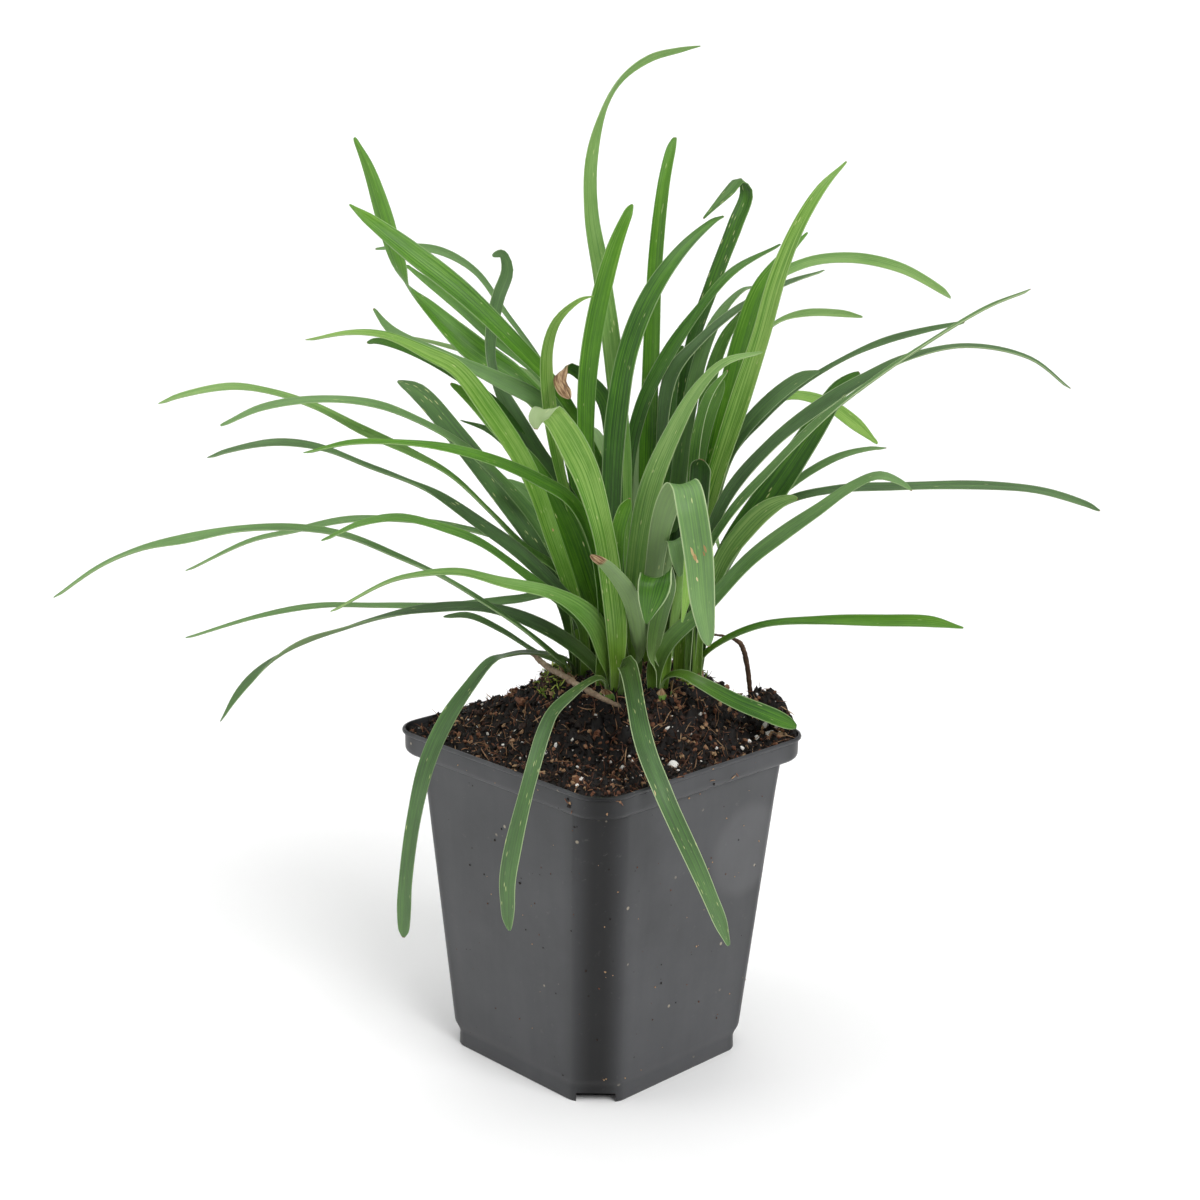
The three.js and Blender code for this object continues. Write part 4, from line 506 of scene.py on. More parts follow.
class Blade:
    """Close frames along one leaf: place, along, side, half width and distance run."""

    def __init__(self, places, sides, widths):
        steps = (len(places) - 1) * 14
        shares = np.linspace(0, 1, steps + 1)
        path = np.array([curve_spot(places, share) for share in shares])
        run = np.concatenate([[0], np.cumsum(np.linalg.norm(np.diff(path, axis=0), axis=1))])
        length = run[-1] - 0.1
        rows = int(np.clip(length / ROW_STEP, 14, 84))
        near = min(TIP_REACH, length / 4)
        self.run = np.concatenate([np.linspace(0, length - near, rows), length - near * np.array(TIP_ROWS)])
        self.share = np.interp(self.run, run, shares)
        self.place = np.array([curve_spot(places, share) for share in self.share])
        self.along = unit(np.gradient(self.place, self.run, axis=0))
        spots = self.share * (len(places) - 1)
        low = np.minimum(spots.astype(int), len(places) - 2)
        sides = np.array(sides)
        part = (spots - low)[:, None]
        side = sides[low] * (1 - part) + sides[low + 1] * part
        side = unit(side - self.along * np.sum(side * self.along, axis=1, keepdims=True))
        for _ in range(5):
            side[1:-1] = (side[:-2] + 2 * side[1:-1] + side[2:]) / 4
        self.side = unit(side - self.along * np.sum(side * self.along, axis=1, keepdims=True))
        half = np.array([spread(widths, share) / 2 for share in self.share])
        left = run[-1] - self.run
        close = np.clip(2.2 * np.interp(-TIP_AT, -left, half), 0.6, 4.0)
        self.half = half * np.sqrt(1 - np.clip(1 - left / close, 0, 1) ** 2)
        self.length = length


def grid_leaf(name, blade, look, seed, dried, channel=CHANNEL):
    """One strap leaf: a flat grid laid over its frames, channelled and given its thin body."""
    rows = len(blade.run)
    bpy.ops.mesh.primitive_grid_add(x_subdivisions=ACROSS, y_subdivisions=rows - 1, size=1.0)
    leaf = bpy.context.object
    leaf.name = name
    mesh = leaf.data
    flat = np.empty(len(mesh.vertices) * 3)
    mesh.vertices.foreach_get("co", flat)
    flat = flat.reshape(-1, 3)
    col = np.rint((flat[:, 0] + 0.5) * ACROSS).astype(int)
    row = np.rint((flat[:, 1] + 0.5) * (rows - 1)).astype(int)
    out = 1 - 2 * col / ACROSS
    half = blade.half[row]
    up = np.cross(blade.along, blade.side)[row]
    sway = 0.06 * np.sin(blade.run[row] * 0.21 + seed * 40) * np.minimum(half, 1.5)
    lift = channel * 2 * half * np.abs(out) ** 1.5 + sway * out
    placed = blade.place[row] + blade.side[row] * (out * half)[:, None] + up * lift[:, None]
    mesh.vertices.foreach_set("co", (placed * MM).ravel())

    loops = np.empty(len(mesh.loops), int)
    mesh.loops.foreach_get("vertex_index", loops)
    layout = np.stack([col[loops] / ACROSS, blade.run[row][loops] / 10], axis=1)
    mesh.uv_layers.active.data.foreach_set("uv", layout.ravel())

    tone, bloom, veins, edge, fleck = look
    share = blade.run[row] / blade.length
    dry = np.zeros(len(share))
    if dried:
        dry = eased(dried[0] - 0.06, dried[0] + 0.05, share) * dried[1]
    tip_dry = eased(blade.length - 0.9, blade.length, blade.run[row]) * (0.6 if seed > 0.65 else 0.2)
    base = 1 - eased(8, 40, blade.run[row])
    ones = np.ones(len(share))
    mesh.attributes.new("look_back", "FLOAT", "POINT").data.foreach_set(
        "value", BACKS.get(name, 0.16 + 0.5 * bloom) * ones)
    for label, parts in (("look_tone", (tone * ones, bloom * ones, veins * ones)),
                         ("look_mark", (edge * ones, fleck * ones, np.maximum(dry, tip_dry))),
                         ("look_grow", (base, seed * ones, share))):
        mesh.attributes.new(label, "FLOAT_VECTOR", "POINT").data.foreach_set(
            "vector", np.stack(parts, axis=1).ravel())

    group = leaf.vertex_groups.new(name="body")
    weights = (1 - (1 - THIN_EDGE) * np.abs(out) ** 2) * eased(-0.5, 2.5, blade.run[-1] - blade.run[row])
    for index, weight in enumerate(weights):
        group.add([index], float(weight), "REPLACE")
    body = leaf.modifiers.new("body", "SOLIDIFY")
    body.thickness = BODY * MM
    body.offset = -1
    body.vertex_group = group.name
    body.thickness_vertex_group = 0.12
    body.material_offset = 1
    body.material_offset_rim = 0
    mesh.materials.append(LEAF_UPPER)
    mesh.materials.append(LEAF_UNDER)
    bpy.ops.object.modifier_apply(modifier=body.name)
    bpy.ops.object.shade_smooth()
    leaf.select_set(False)
    return leaf


def joined(name, objects):
    """One piece from several, its place in its mesh."""
    bpy.ops.object.select_all(action="DESELECT")
    for each in objects:
        each.select_set(True)
    bpy.context.view_layer.objects.active = objects[0]
    if len(objects) > 1:
        bpy.ops.object.join()
    piece = bpy.context.object
    piece.name = name
    piece.data.name = name
    bpy.ops.object.transform_apply(location=True, rotation=True, scale=True)
    bpy.ops.object.select_all(action="DESELECT")
    piece.vertex_groups.clear()
    return piece


def settle(piece, slot, *nodes):
    """The piece rides with the pot and stands for its nodes; its slot is not used."""
    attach(piece, "root")
    if nodes:
        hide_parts(*nodes)
    return piece


# ---------------------------------------------------------------- finishes

def colour(code):
    """Linear colour from a screen colour code."""
    parts = [int(code[k:k + 2], 16) / 255 for k in (1, 3, 5)]
    return (*[p / 12.92 if p <= 0.04045 else ((p + 0.055) / 1.055) ** 2.4 for p in parts], 1.0)


class Finish:
    """A material under construction: each call adds one node and gives its output."""

    def __init__(self, name, roughness=0.5, specular=0.5):
        self.material = bpy.data.materials.new(name)
        self.material.use_nodes = True
        self.tree = self.material.node_tree
        self.shader = self.tree.nodes["Principled BSDF"]
        self.shader.inputs["Roughness"].default_value = roughness
        self.shader.inputs["Specular IOR Level"].default_value = specular

    def put(self, socket, value):
        if isinstance(value, bpy.types.NodeSocket):
            self.tree.links.new(value, socket)
        elif isinstance(value, str):
            socket.default_value = colour(value)
        else:
            socket.default_value = value

    def node(self, kind, output=0, settings=(), **inputs):
        made = self.tree.nodes.new(kind)
        for key, value in dict(settings).items():
            setattr(made, key, value)
        for key, value in inputs.items():
            self.put(made.inputs[key.replace("_", " ")], value)
        return made.outputs[output]

    def math(self, operation, a, b=0.0, clamp=False):
        made = self.tree.nodes.new("ShaderNodeMath")
        made.operation = operation
        made.use_clamp = clamp
        self.put(made.inputs[0], a)
        self.put(made.inputs[1], b)
        return made.outputs[0]

    def step(self, value, low, high, start=0.0, end=1.0):
        """A smooth step of a value between two limits."""
        made = self.tree.nodes.new("ShaderNodeMapRange")
        made.interpolation_type = "SMOOTHSTEP"
        for socket, setting in zip(made.inputs, (value, low, high, start, end)):
            self.put(socket, setting)
        return made.outputs[0]

    def mix(self, share, a, b, blend="MIX"):
        made = self.tree.nodes.new("ShaderNodeMix")
        made.data_type = "RGBA"
        made.blend_type = blend
        made.clamp_factor = True
        self.put(made.inputs[0], share)
        self.put(made.inputs[6], a)
        self.put(made.inputs[7], b)
        return made.outputs[2]

    def ramp(self, value, *stops):
        made = self.tree.nodes.new("ShaderNodeValToRGB")
        elements = made.color_ramp.elements
        while len(elements) < len(stops):
            elements.new(1.0)
        for element, (place, code) in zip(elements, stops):
            element.position = place
            element.color = colour(code)
        self.put(made.inputs[0], value)
        return made.outputs[0]

    def blend(self, *shares, offset=0.0):
        """The sum of values, each times its weight, and an offset."""
        total = offset
        for value, weight in shares:
            made = self.tree.nodes.new("ShaderNodeMath")
            made.operation = "MULTIPLY_ADD"
            for socket, setting in zip(made.inputs, (value, weight, total)):
                self.put(socket, setting)
            total = made.outputs[0]
        return total

    def joined(self, x, y, z):
        return self.node("ShaderNodeCombineXYZ", X=x, Y=y, Z=z)

    def parts(self, vector):
        made = self.tree.nodes.new("ShaderNodeSeparateXYZ")
        self.put(made.inputs[0], vector)
        return made.outputs

    def attribute(self, name, output="Vector"):
        made = self.tree.nodes.new("ShaderNodeAttribute")
        made.attribute_name = name
        return made.outputs[output]

    def noise(self, vector, scale=1.0, detail=2.0, roughness=0.5):
        return self.node("ShaderNodeTexNoise", Vector=vector, Scale=scale, Detail=detail, Roughness=roughness)

    def relief(self, height, distance, strength=1.0):
        bump = self.tree.nodes.new("ShaderNodeBump")
        bump.inputs["Distance"].default_value = distance * MM
        bump.inputs["Strength"].default_value = strength
        self.put(bump.inputs["Height"], height)
        self.tree.links.new(bump.outputs[0], self.shader.inputs["Normal"])

    def done(self, base, roughness=None):
        self.put(self.shader.inputs["Base Color"], base)
        if roughness is not None:
            self.put(self.shader.inputs["Roughness"], roughness)
        return self.material


def leaf_finish(name, underside):
    """Strap leaf: parallel veins, waxy bloom, pale edges, flecks, a yellow foot, dried tips, and painted
    shade at the root giving way to a painted sheen towards the tip.
    """
    f = Finish(name, specular=0.32)
    tone, bloom, veins = f.parts(f.attribute("look_tone"))
    edge, fleck, dry = f.parts(f.attribute("look_mark"))
    base, seed, share = f.parts(f.attribute("look_grow"))
    u, v, _ = f.parts(f.node("ShaderNodeUVMap", settings={"uv_map": "UVMap"}))
    shift = f.math("MULTIPLY", seed, 37.0)

    def stretched(across, along):
        return f.joined(f.math("MULTIPLY", u, across), f.math("MULTIPLY", v, along), shift)

    threads = f.step(f.noise(stretched(24.0, 0.2), detail=3.0, roughness=0.6), 0.36, 0.64)
    ribs = f.step(f.math("COSINE", f.math("MULTIPLY", u, 2 * math.pi * VEINS)), 0.1, 1.0)
    mottle = f.noise(stretched(7.0, 3.0), detail=4.0, roughness=0.6)
    slow = f.noise(stretched(1.3, 0.55), detail=3.0)
    lines = f.blend((threads, 0.8), (ribs, 0.22))
    # The share term darkens the leaf at its root and lightens it towards its tip: painted shade where the
    # leaves crowd, painted sheen at the tip.
    level = f.blend((tone, 1.0), (slow, 0.36), (mottle, 0.2), (share, 0.25), offset=-0.36)
    level = f.math("ADD", level, f.math("MULTIPLY", f.blend((lines, 1.0), offset=-0.4),
                                        f.blend((veins, 0.55), offset=0.1)))
    green = f.ramp(level, *LEAF_GREENS)
    foot = f.math("MULTIPLY", base, f.blend((tone, 0.65), offset=0.12))
    green = f.mix(foot, green, "#7fa033")
    # The grey coat grows towards the tip: partly the leaf's waxy bloom, partly painted sheen.
    bloom_and_tip_sheen = f.math("MULTIPLY", bloom, f.blend((slow, 0.7), (share, 0.8), offset=-0.05))
    green = f.mix(f.math("MULTIPLY", bloom_and_tip_sheen, 0.6), green, "#8fa882")
    if underside:
        green = f.mix(f.attribute("look_back", "Fac"), green, "#93a877")
    away = f.math("ABSOLUTE", f.math("SUBTRACT", u, 0.5))
    green = f.mix(f.step(away, 0.0, 0.035, 0.08, 0.0), green, "#8db35c")
    green = f.mix(f.math("MULTIPLY", f.step(away, 0.45, 0.485), edge), green, "#b4c996")
    cells = f.node("ShaderNodeTexVoronoi", Vector=stretched(8.0, 1.9), Scale=1.0)
    patchy = f.step(f.blend((f.noise(stretched(2.0, 1.6)), 1.0), (fleck, 0.36)), 0.6, 0.68, 0.0, 0.85)
    spots = f.math("MULTIPLY", f.step(cells, 0.08, 0.22, 1.0, 0.0), patchy)
    green = f.mix(spots, green, "#cdd593")
    brown = f.ramp(f.noise(stretched(9.0, 2.2), detail=4.0),
                   (0.25, "#3d2c1c"), (0.45, "#7b5a3c"), (0.6, "#b79a74"), (0.75, "#e0d3b8"))
    dried = f.step(f.blend((dry, 1.0), (slow, 0.5), offset=-0.25), 0.3, 0.6)
    f.relief(lines, 0.1, 0.5)
    rough = f.blend((bloom_and_tip_sheen, 0.2), (mottle, 0.16), offset=0.4 if underside else 0.26)
    return f.done(f.mix(dried, green, brown), rough)


LEAF_UPPER = leaf_finish("leaf_upper", False)
LEAF_UNDER = leaf_finish("leaf_under", True)


def make_leaves():
    """Every tuft: its leaves from the tables or the rule, and the short sheaths round its foot."""
    dice = random.Random(11)
    tufts = {}
    tufts_made = []
    for node, (crown, half, leaves) in TUFTS.items():
        tufts[node] = (crown, half, [(leaf[0], drawn_course(leaf, crown)) for leaf in leaves])
    crown, half = BACK_TUFT
    tufts["tuft_back"] = (crown, half, [(f"back_{i}", arched_course(rule, crown))
                                        for i, rule in enumerate(BACK_LEAVES)])
    for node, (crown, half, courses) in tufts.items():
        blades = []
        for name, course in courses:
            seed = dice.random()
            coat, *marks = LOOKS.get(name) or (None, 0.3, 0.3, 0.1)
            look = (*(COATS[coat] if coat else (0.2 + 0.5 * seed, 0.3)), *marks)
            blade = Blade(*course)
            blades.append(grid_leaf(name, blade, look, seed, DRIED.get(name)))
        blades += sheaths(crown, half, dice)
        tufts_made.append(settle(joined(node.replace("tuft", "leaves"), blades), "leaf", node))
    return tufts_made


def sheaths(crown, half, dice):
    """Short torn sheaths that wrap the foot of a tuft."""
    made = []
    ground = soil_height(*crown)
    for step in range(3):
        angle = (step + dice.random() * 0.6) / 3 * 2 * math.pi
        out = np.array([math.cos(angle), math.sin(angle), 0.0])
        foot = np.array([crown[0] + half[0] * 0.85 * out[0], crown[1] + half[1] * 0.85 * out[1], ground - 4])
        tall = 4.5 + 3 * dice.random()
        lean = 0.05 + 0.2 * dice.random()
        places = [foot + out * lean * tall * s * s + np.array([0, 0, tall * s]) for s in (0, 0.35, 0.7, 1.0)]
        side = np.cross([0.0, 0.0, -1.0], out)
        width = 3.6 + 1.6 * dice.random()
        blade = Blade(places, [side] * 4, [width, width, width * 0.8, width * 0.35])
        seed = dice.random()
        look = (0.4, 0.3, 0.6, 0.3, 0.0)
        made.append(grid_leaf(f"sheath_{step}", blade, look, seed, (0.25 + 0.4 * dice.random(), 0.9), -0.3))
    return made


# ---------------------------------------------------------------- pot

def arc(x, y, radius, start, end, steps):
    angles = np.linspace(start, end, steps + 1)
    return [(x + radius * math.cos(a), y + radius * math.sin(a)) for a in angles]


def rim_ring(half, radius, z):
    """A square with round corners, its corners on the axes: 80 points."""
    points = []
    for corner in range(4):
        bearing = corner * math.pi / 2
        x, y = ((half - radius) * math.sqrt(2) * f(bearing) for f in (math.cos, math.sin))
        points += arc(x, y, radius, bearing - math.pi / 4, bearing + math.pi / 4, 19)
    return [(x, y, z) for x, y in points]


def body_ring(sizes, z, ease=CHAMFER_ROUND):
    """A square with chamfered corners whose eight edges are rounded: 80 points."""
    half, diagonal = sizes
    chamfer = half * math.sqrt(2) - diagonal
    points = []
    for corner in range(4):
        bearing = corner * math.pi / 2
        for hand in (-1, 1):
            out, off = diagonal - ease, hand * (chamfer - ease * math.tan(math.pi / 8))
            x = out * math.cos(bearing) - off * math.sin(bearing)
            y = out * math.sin(bearing) + off * math.cos(bearing)
            start = bearing - math.pi / 4 if hand < 0 else bearing
            points += arc(x, y, ease, start, start + math.pi / 4, 9)
    return [(x, y, z) for x, y in points]


def between(low, high, share):
    return tuple(a + (b - a) * share for a, b in zip(low, high))


def less(sizes, wall):
    return tuple(size - wall for size in sizes)


def lofted(name, rings):
    """A circle extruded ring by ring, each ring drawn to its outline, its two ends filled."""
    count = len(rings[0])
    bpy.ops.mesh.primitive_circle_add(vertices=count, radius=1, fill_type="NOTHING")
    piece = bpy.context.object
    piece.name = name
    bpy.ops.object.mode_set(mode="EDIT")
    bpy.ops.mesh.select_all(action="SELECT")
    for _ in rings[1:]:
        bpy.ops.mesh.extrude_edges_move(TRANSFORM_OT_translate={"value": (0, 0, 1)})
    bpy.ops.object.mode_set(mode="OBJECT")
    mesh = piece.data
    order = ring_order(mesh)
    corners = np.empty((len(mesh.vertices), 3))
    for ring, indices in zip(rings, order):
        corners[indices] = np.array(ring) * MM
    mesh.vertices.foreach_set("co", corners.ravel())
    bpy.ops.object.mode_set(mode="EDIT")
    bpy.ops.mesh.select_all(action="DESELECT")
    bpy.ops.object.mode_set(mode="OBJECT")
    for indices in (order[0], order[-1]):
        bpy.ops.object.mode_set(mode="EDIT")
        bpy.ops.mesh.select_all(action="DESELECT")
        bpy.ops.object.mode_set(mode="OBJECT")
        for index in indices:
            mesh.vertices[index].select = True
        bpy.ops.object.mode_set(mode="EDIT")
        bpy.ops.mesh.select_mode(type="VERT")
        bpy.ops.mesh.edge_face_add()
        bpy.ops.object.mode_set(mode="OBJECT")
    bpy.ops.object.mode_set(mode="EDIT")
    bpy.ops.mesh.select_all(action="SELECT")
    bpy.ops.mesh.normals_make_consistent(inside=False)
    bpy.ops.object.mode_set(mode="OBJECT")
    return piece


def ring_order(mesh):
    """Vertex numbers of each ring of an extruded circle, by their height and their angle."""
    places = np.empty(len(mesh.vertices) * 3)
    mesh.vertices.foreach_get("co", places)
    places = places.reshape(-1, 3)
    angles = np.mod(np.arctan2(places[:, 1], places[:, 0]) + 0.01, 2 * math.pi)
    rings = np.rint(places[:, 2]).astype(int)
    return [np.array(sorted(np.flatnonzero(rings == ring), key=lambda i: angles[i]))
            for ring in range(rings.max() + 1)]


def cut(piece, tool):
    """Takes the tool's shape out of the piece and removes the tool."""
    notch = piece.modifiers.new("notch", "BOOLEAN")
    notch.operation = "DIFFERENCE"
    notch.object = tool
    notch.solver = "EXACT"
    bpy.context.view_layer.objects.active = piece
    bpy.ops.object.modifier_apply(modifier=notch.name)
    bpy.data.objects.remove(tool)


SHELF = POT_HEIGHT - RIM_BAND
LIP = POT_HEIGHT - RIM_LIP
FOOT_EDGE = 0.25
# The foot's swell: share of the way from the foot to the body, and height.
FOOT_STEPS = ((0.05, 4.2), (0.2, 5.1), (0.52, 6.1), (0.84, 7.1))
BODY_START = (0.03, 10.5)
BODY_STEPS = 8
# The rim's outside, from under the band up to the top edge: inset and height.
RIM_OUTSIDE = (
    (RIM_LIP_OUT + 1.2, SHELF - 1.0), (RIM_LIP_OUT + 0.62, SHELF - 0.75),
    (RIM_LIP_OUT + 0.22, SHELF - 0.3), (RIM_LIP_OUT + 0.03, SHELF + 0.4),
    (RIM_LIP_OUT, SHELF + 1.2), (RIM_LIP_OUT, LIP - 0.1),
    (RIM_LIP_OUT - 0.12, LIP + 0.04), (0.16, LIP + 0.22), (0.02, LIP + 0.42),
    (0.0, POT_HEIGHT - 0.5), (0.1, POT_HEIGHT - 0.18), (0.36, POT_HEIGHT))
# The rim's inside, from the top edge down: inset, corner's inset and height.
RIM_INSIDE = (
    (0.75, 0.4, POT_HEIGHT), (0.95, 0.8, POT_HEIGHT - 0.3),
    (WALL, WALL, POT_HEIGHT - 0.8), (WALL, WALL, SHELF + 0.1))
NOTCH_REACH = 8
SMOOTH_BELOW = math.radians(38)


def make_pot():
    start, start_height = BODY_START
    outer = [body_ring(FOOT, 0.0), body_ring(less(FOOT, -FOOT_EDGE), 2 * FOOT_EDGE)]
    outer += [body_ring(between(FOOT, BODY_LOW, share), z) for share, z in FOOT_STEPS]
    outer += [body_ring(BODY_LOW, FOOT_TOP), body_ring(between(BODY_LOW, BODY_TOP, start), start_height)]
    for step in range(1, BODY_STEPS + 1):
        share = start + (1 - start) * step / BODY_STEPS
        z = FOOT_TOP + (SHELF - FOOT_TOP) * share
        if z < SHELF - 2.2:
            outer.append(body_ring(between(BODY_LOW, BODY_TOP, share), z))
    outer += [body_ring(BODY_TOP, SHELF - 1.5), body_ring(less(BODY_TOP, -0.1), SHELF - 1.1)]
    outer += [rim_ring(RIM_HALF - inset, RIM_CORNER, z) for inset, z in RIM_OUTSIDE]
    inner = [rim_ring(RIM_HALF - inset, RIM_CORNER - less_corner, z) for inset, less_corner, z in RIM_INSIDE]
    inner += [body_ring(less(BODY_TOP, WALL), SHELF), body_ring(less(BODY_TOP, WALL), SHELF - 1),
              body_ring(less(BODY_LOW, WALL), FOOT_TOP)]
    inner += [body_ring(less(between(FOOT, BODY_LOW, share), WALL), z)
              for share, z in (FOOT_STEPS[2], FOOT_STEPS[0])]
    inner.append(body_ring(less(FOOT, WALL), FLOOR))
    pot = lofted("nursery_pot", outer + inner)
    for corner in range(4):
        bearing = corner * math.pi / 2
        x, y = math.cos(bearing), math.sin(bearing)
        bpy.ops.mesh.primitive_cube_add(
            size=1, location=(FOOT[1] * x * MM, FOOT[1] * y * MM, 0), rotation=(0, 0, bearing),
            scale=(NOTCH_REACH * MM, NOTCH[0] * MM, NOTCH[1] * 2 * MM))
        cut(pot, bpy.context.object)
        bpy.ops.mesh.primitive_cylinder_add(vertices=32, radius=DRAIN_RADIUS * MM, depth=FLOOR * 4 * MM,
                                            location=(DRAIN_PLACE * x * MM, DRAIN_PLACE * y * MM, 0))
        cut(pot, bpy.context.object)
    pot = joined("nursery_pot", [pot])
    pot.select_set(True)
    bpy.context.view_layer.objects.active = pot
    bpy.ops.object.shade_smooth_by_angle(angle=SMOOTH_BELOW)
    pot.select_set(False)
    pot.data.materials.clear()
    pot.data.materials.append(pot_finish())
    return settle(pot, "pot_plastic", "pot")


def pot_finish():
    """Satin black plastic: dusty flats, painted shade on the chamfered corners, a painted reflection on one
    side, faint scratches, specks and scuffs.
    """
    f = Finish("pot_plastic", specular=0.3)
    place = f.node("ShaderNodeTexCoord", 3)
    x, y, z = f.parts(place)
    # Painted shade: the dust film is left off near the chamfered corners, so they stay darker than the flats.
    off_axis = f.math("MINIMUM", f.math("ABSOLUTE", x), f.math("ABSOLUTE", y))
    flat = f.step(off_axis, 1.0 * MM, 11.0 * MM)
    cloud = f.noise(place, scale=30.0, detail=5.0, roughness=0.6)
    fine = f.noise(place, scale=420.0, detail=3.0, roughness=0.7)
    drawn = f.noise(f.joined(f.math("MULTIPLY", x, 230.0), f.math("MULTIPLY", y, 230.0),
                             f.math("MULTIPLY", z, 9.0)), detail=3.0)
    film = f.blend((cloud, 0.55), (drawn, 0.12), offset=0.2)
    dust_and_corner_shade = f.math("MULTIPLY", film, f.blend((flat, 0.92), offset=0.04))
    base = f.mix(dust_and_corner_shade, "#141415", "#5f6063")
    base = f.mix(f.math("MULTIPLY", f.step(fine, 0.62, 0.8), 0.12), base, "#8b8a86")
    cells = f.node("ShaderNodeTexVoronoi", Vector=place, Scale=300.0)
    rare = f.step(f.noise(place, scale=95.0, detail=1.0), 0.64, 0.7)
    base = f.mix(f.math("MULTIPLY", f.step(cells, 0.1, 0.2, 1.0, 0.0), rare), base, "#a09684")
    # Painted reflection: a soft lighter patch round a point on one side of the pot, fading out.
    f.node("ShaderNodeVectorMath", settings={"operation": "DISTANCE"}, Vector=place)
    reach = f.tree.nodes[-1]
    reach.inputs[1].default_value = tuple(size * MM for size in REFLECTION_PLACE)
    near, far = (size * MM for size in REFLECTION_REACH)
    painted_reflection = f.step(reach.outputs["Value"], near, far, 0.1, 0.0)
    base = f.mix(painted_reflection, base, "#9a9a9c")
    f.relief(f.blend((drawn, 0.4), (fine, 0.5)), 0.05, 0.25)
    return f.done(base, f.blend((cloud, 0.2), (fine, 0.12), offset=0.24))


# ---------------------------------------------------------------- soil

def lumps(x, y):
    waves = (np.sin(x * 0.71 + 1.3) * np.cos(y * 0.63) + np.sin((x + y) * 0.43 + 0.4)
             + np.cos(x * 1.13 - y * 0.87))
    return LUMP_RISE * waves


def rim_reach(angle, half, radius):
    """Distance from the middle to a square with round corners on the axes, at an angle."""
    turned = (angle % (math.pi / 2))
    turned = min(turned, math.pi / 2 - turned)
    flat = half / math.cos(math.pi / 4 - turned)
    if flat * math.sin(math.pi / 4 - turned) <= half - radius:
        return flat
    centre = (half - radius) * math.sqrt(2)
    return centre * math.cos(turned) + math.sqrt(radius ** 2 - (centre * math.sin(turned)) ** 2)


def body_reach(angle, sizes):
    turned = (angle % (math.pi / 2))
    turned = min(turned, math.pi / 2 - turned)
    return min(sizes[0] / math.cos(math.pi / 4 - turned), sizes[1] / math.cos(turned))


SOIL_CELLS = 170
SKIRT_RINGS = 4


def make_soil():
    """The soil: a grid drawn to the rim's outline, mounded, crumbled and closed underneath."""
    bpy.ops.mesh.primitive_grid_add(x_subdivisions=SOIL_CELLS, y_subdivisions=SOIL_CELLS, size=2.0)
    soil = bpy.context.object
    soil.name = "soil_bed"
    bpy.ops.object.mode_set(mode="EDIT")
    bpy.ops.mesh.select_all(action="SELECT")
    bpy.ops.mesh.region_to_loop()
    for _ in range(SKIRT_RINGS):
        bpy.ops.mesh.extrude_edges_move(TRANSFORM_OT_translate={"value": (0, 0, -1)})
    bpy.ops.mesh.edge_face_add()
    bpy.ops.object.mode_set(mode="OBJECT")
    mesh = soil.data
    skirt = WALL + GAP
    under = {1: (SHELF + GAP, None), 2: (SHELF + GAP, less(BODY_TOP, skirt)),
             3: (FOOT_TOP, less(BODY_LOW, skirt)), 4: (FLOOR + GAP, less(FOOT, skirt))}
    corners = np.empty((len(mesh.vertices), 3))
    for vertex in mesh.vertices:
        a, b, level = vertex.co
        reach = max(abs(a), abs(b))
        angle = math.atan2(b, a) + math.pi / 4
        edge = rim_reach(angle, RIM_HALF - skirt, RIM_CORNER - skirt)
        level = round(-level)
        if level in under:
            z, sizes = under[level]
            edge = body_reach(angle, sizes) if sizes else edge
            corners[vertex.index] = (edge * math.cos(angle), edge * math.sin(angle), z)
            continue
        x, y = edge * reach * math.cos(angle), edge * reach * math.sin(angle)
        calm = 1 - eased(0.93, 1.0, reach) * 0.7
        spot = Vector((x, y, 0))
        crumble = noise.fractal(spot * 0.45, 0.7, 2.1, 5) * 1.9 + abs(noise.noise(spot * 0.9)) * 2.4
        z = soil_height(x, y) + (lumps(x, y) + crumble - 1.6) * calm
        corners[vertex.index] = (x, y, z)
    mesh.vertices.foreach_set("co", (corners * MM).ravel())
    # The bed takes a low shade, darker than most crumbs: partly the colour of damp peat, partly painted shade
    # for the hollows between them.
    shade = np.full(len(mesh.vertices), 0.15)
    mesh.attributes.new("shade", "FLOAT", "POINT").data.foreach_set("value", shade)
    mesh.materials.append(SOIL)
    bpy.ops.object.shade_smooth()
    bpy.ops.object.mode_set(mode="EDIT")
    bpy.ops.mesh.select_all(action="SELECT")
    bpy.ops.mesh.normals_make_consistent(inside=False)
    bpy.ops.object.mode_set(mode="OBJECT")
    return settle(joined("soil_bed", [soil]), "peat", "soil")


def soil_finish():
    """Damp peat: a near-black bed, partly painted shade for the hollows between crumbs, brown crumbs and
    reddish fibre.
    """
    f = Finish("peat", 0.8, 0.35)
    place = f.node("ShaderNodeTexCoord", 3)
    shade = f.attribute("shade", "Fac")
    grain = f.noise(place, scale=900.0, detail=4.0, roughness=0.7)
    patch = f.noise(place, scale=130.0, detail=3.0)
    level = f.math("ADD", shade, f.math("MULTIPLY", f.math("SUBTRACT", grain, 0.5), 0.7))
    level = f.math("ADD", level, f.math("MULTIPLY", f.math("SUBTRACT", patch, 0.5), 0.5))
    base = f.ramp(level, (0.1, "#080504"), (0.36, "#1c130d"), (0.55, "#44291c"), (0.76, "#7a4f38"),
                  (1.0, "#a98a68"))
    f.relief(grain, 0.35, 0.8)
    rough = f.math("MULTIPLY_ADD", patch, 0.5)
    f.tree.nodes[-1].inputs[2].default_value = 0.45
    return f.done(base, rough)


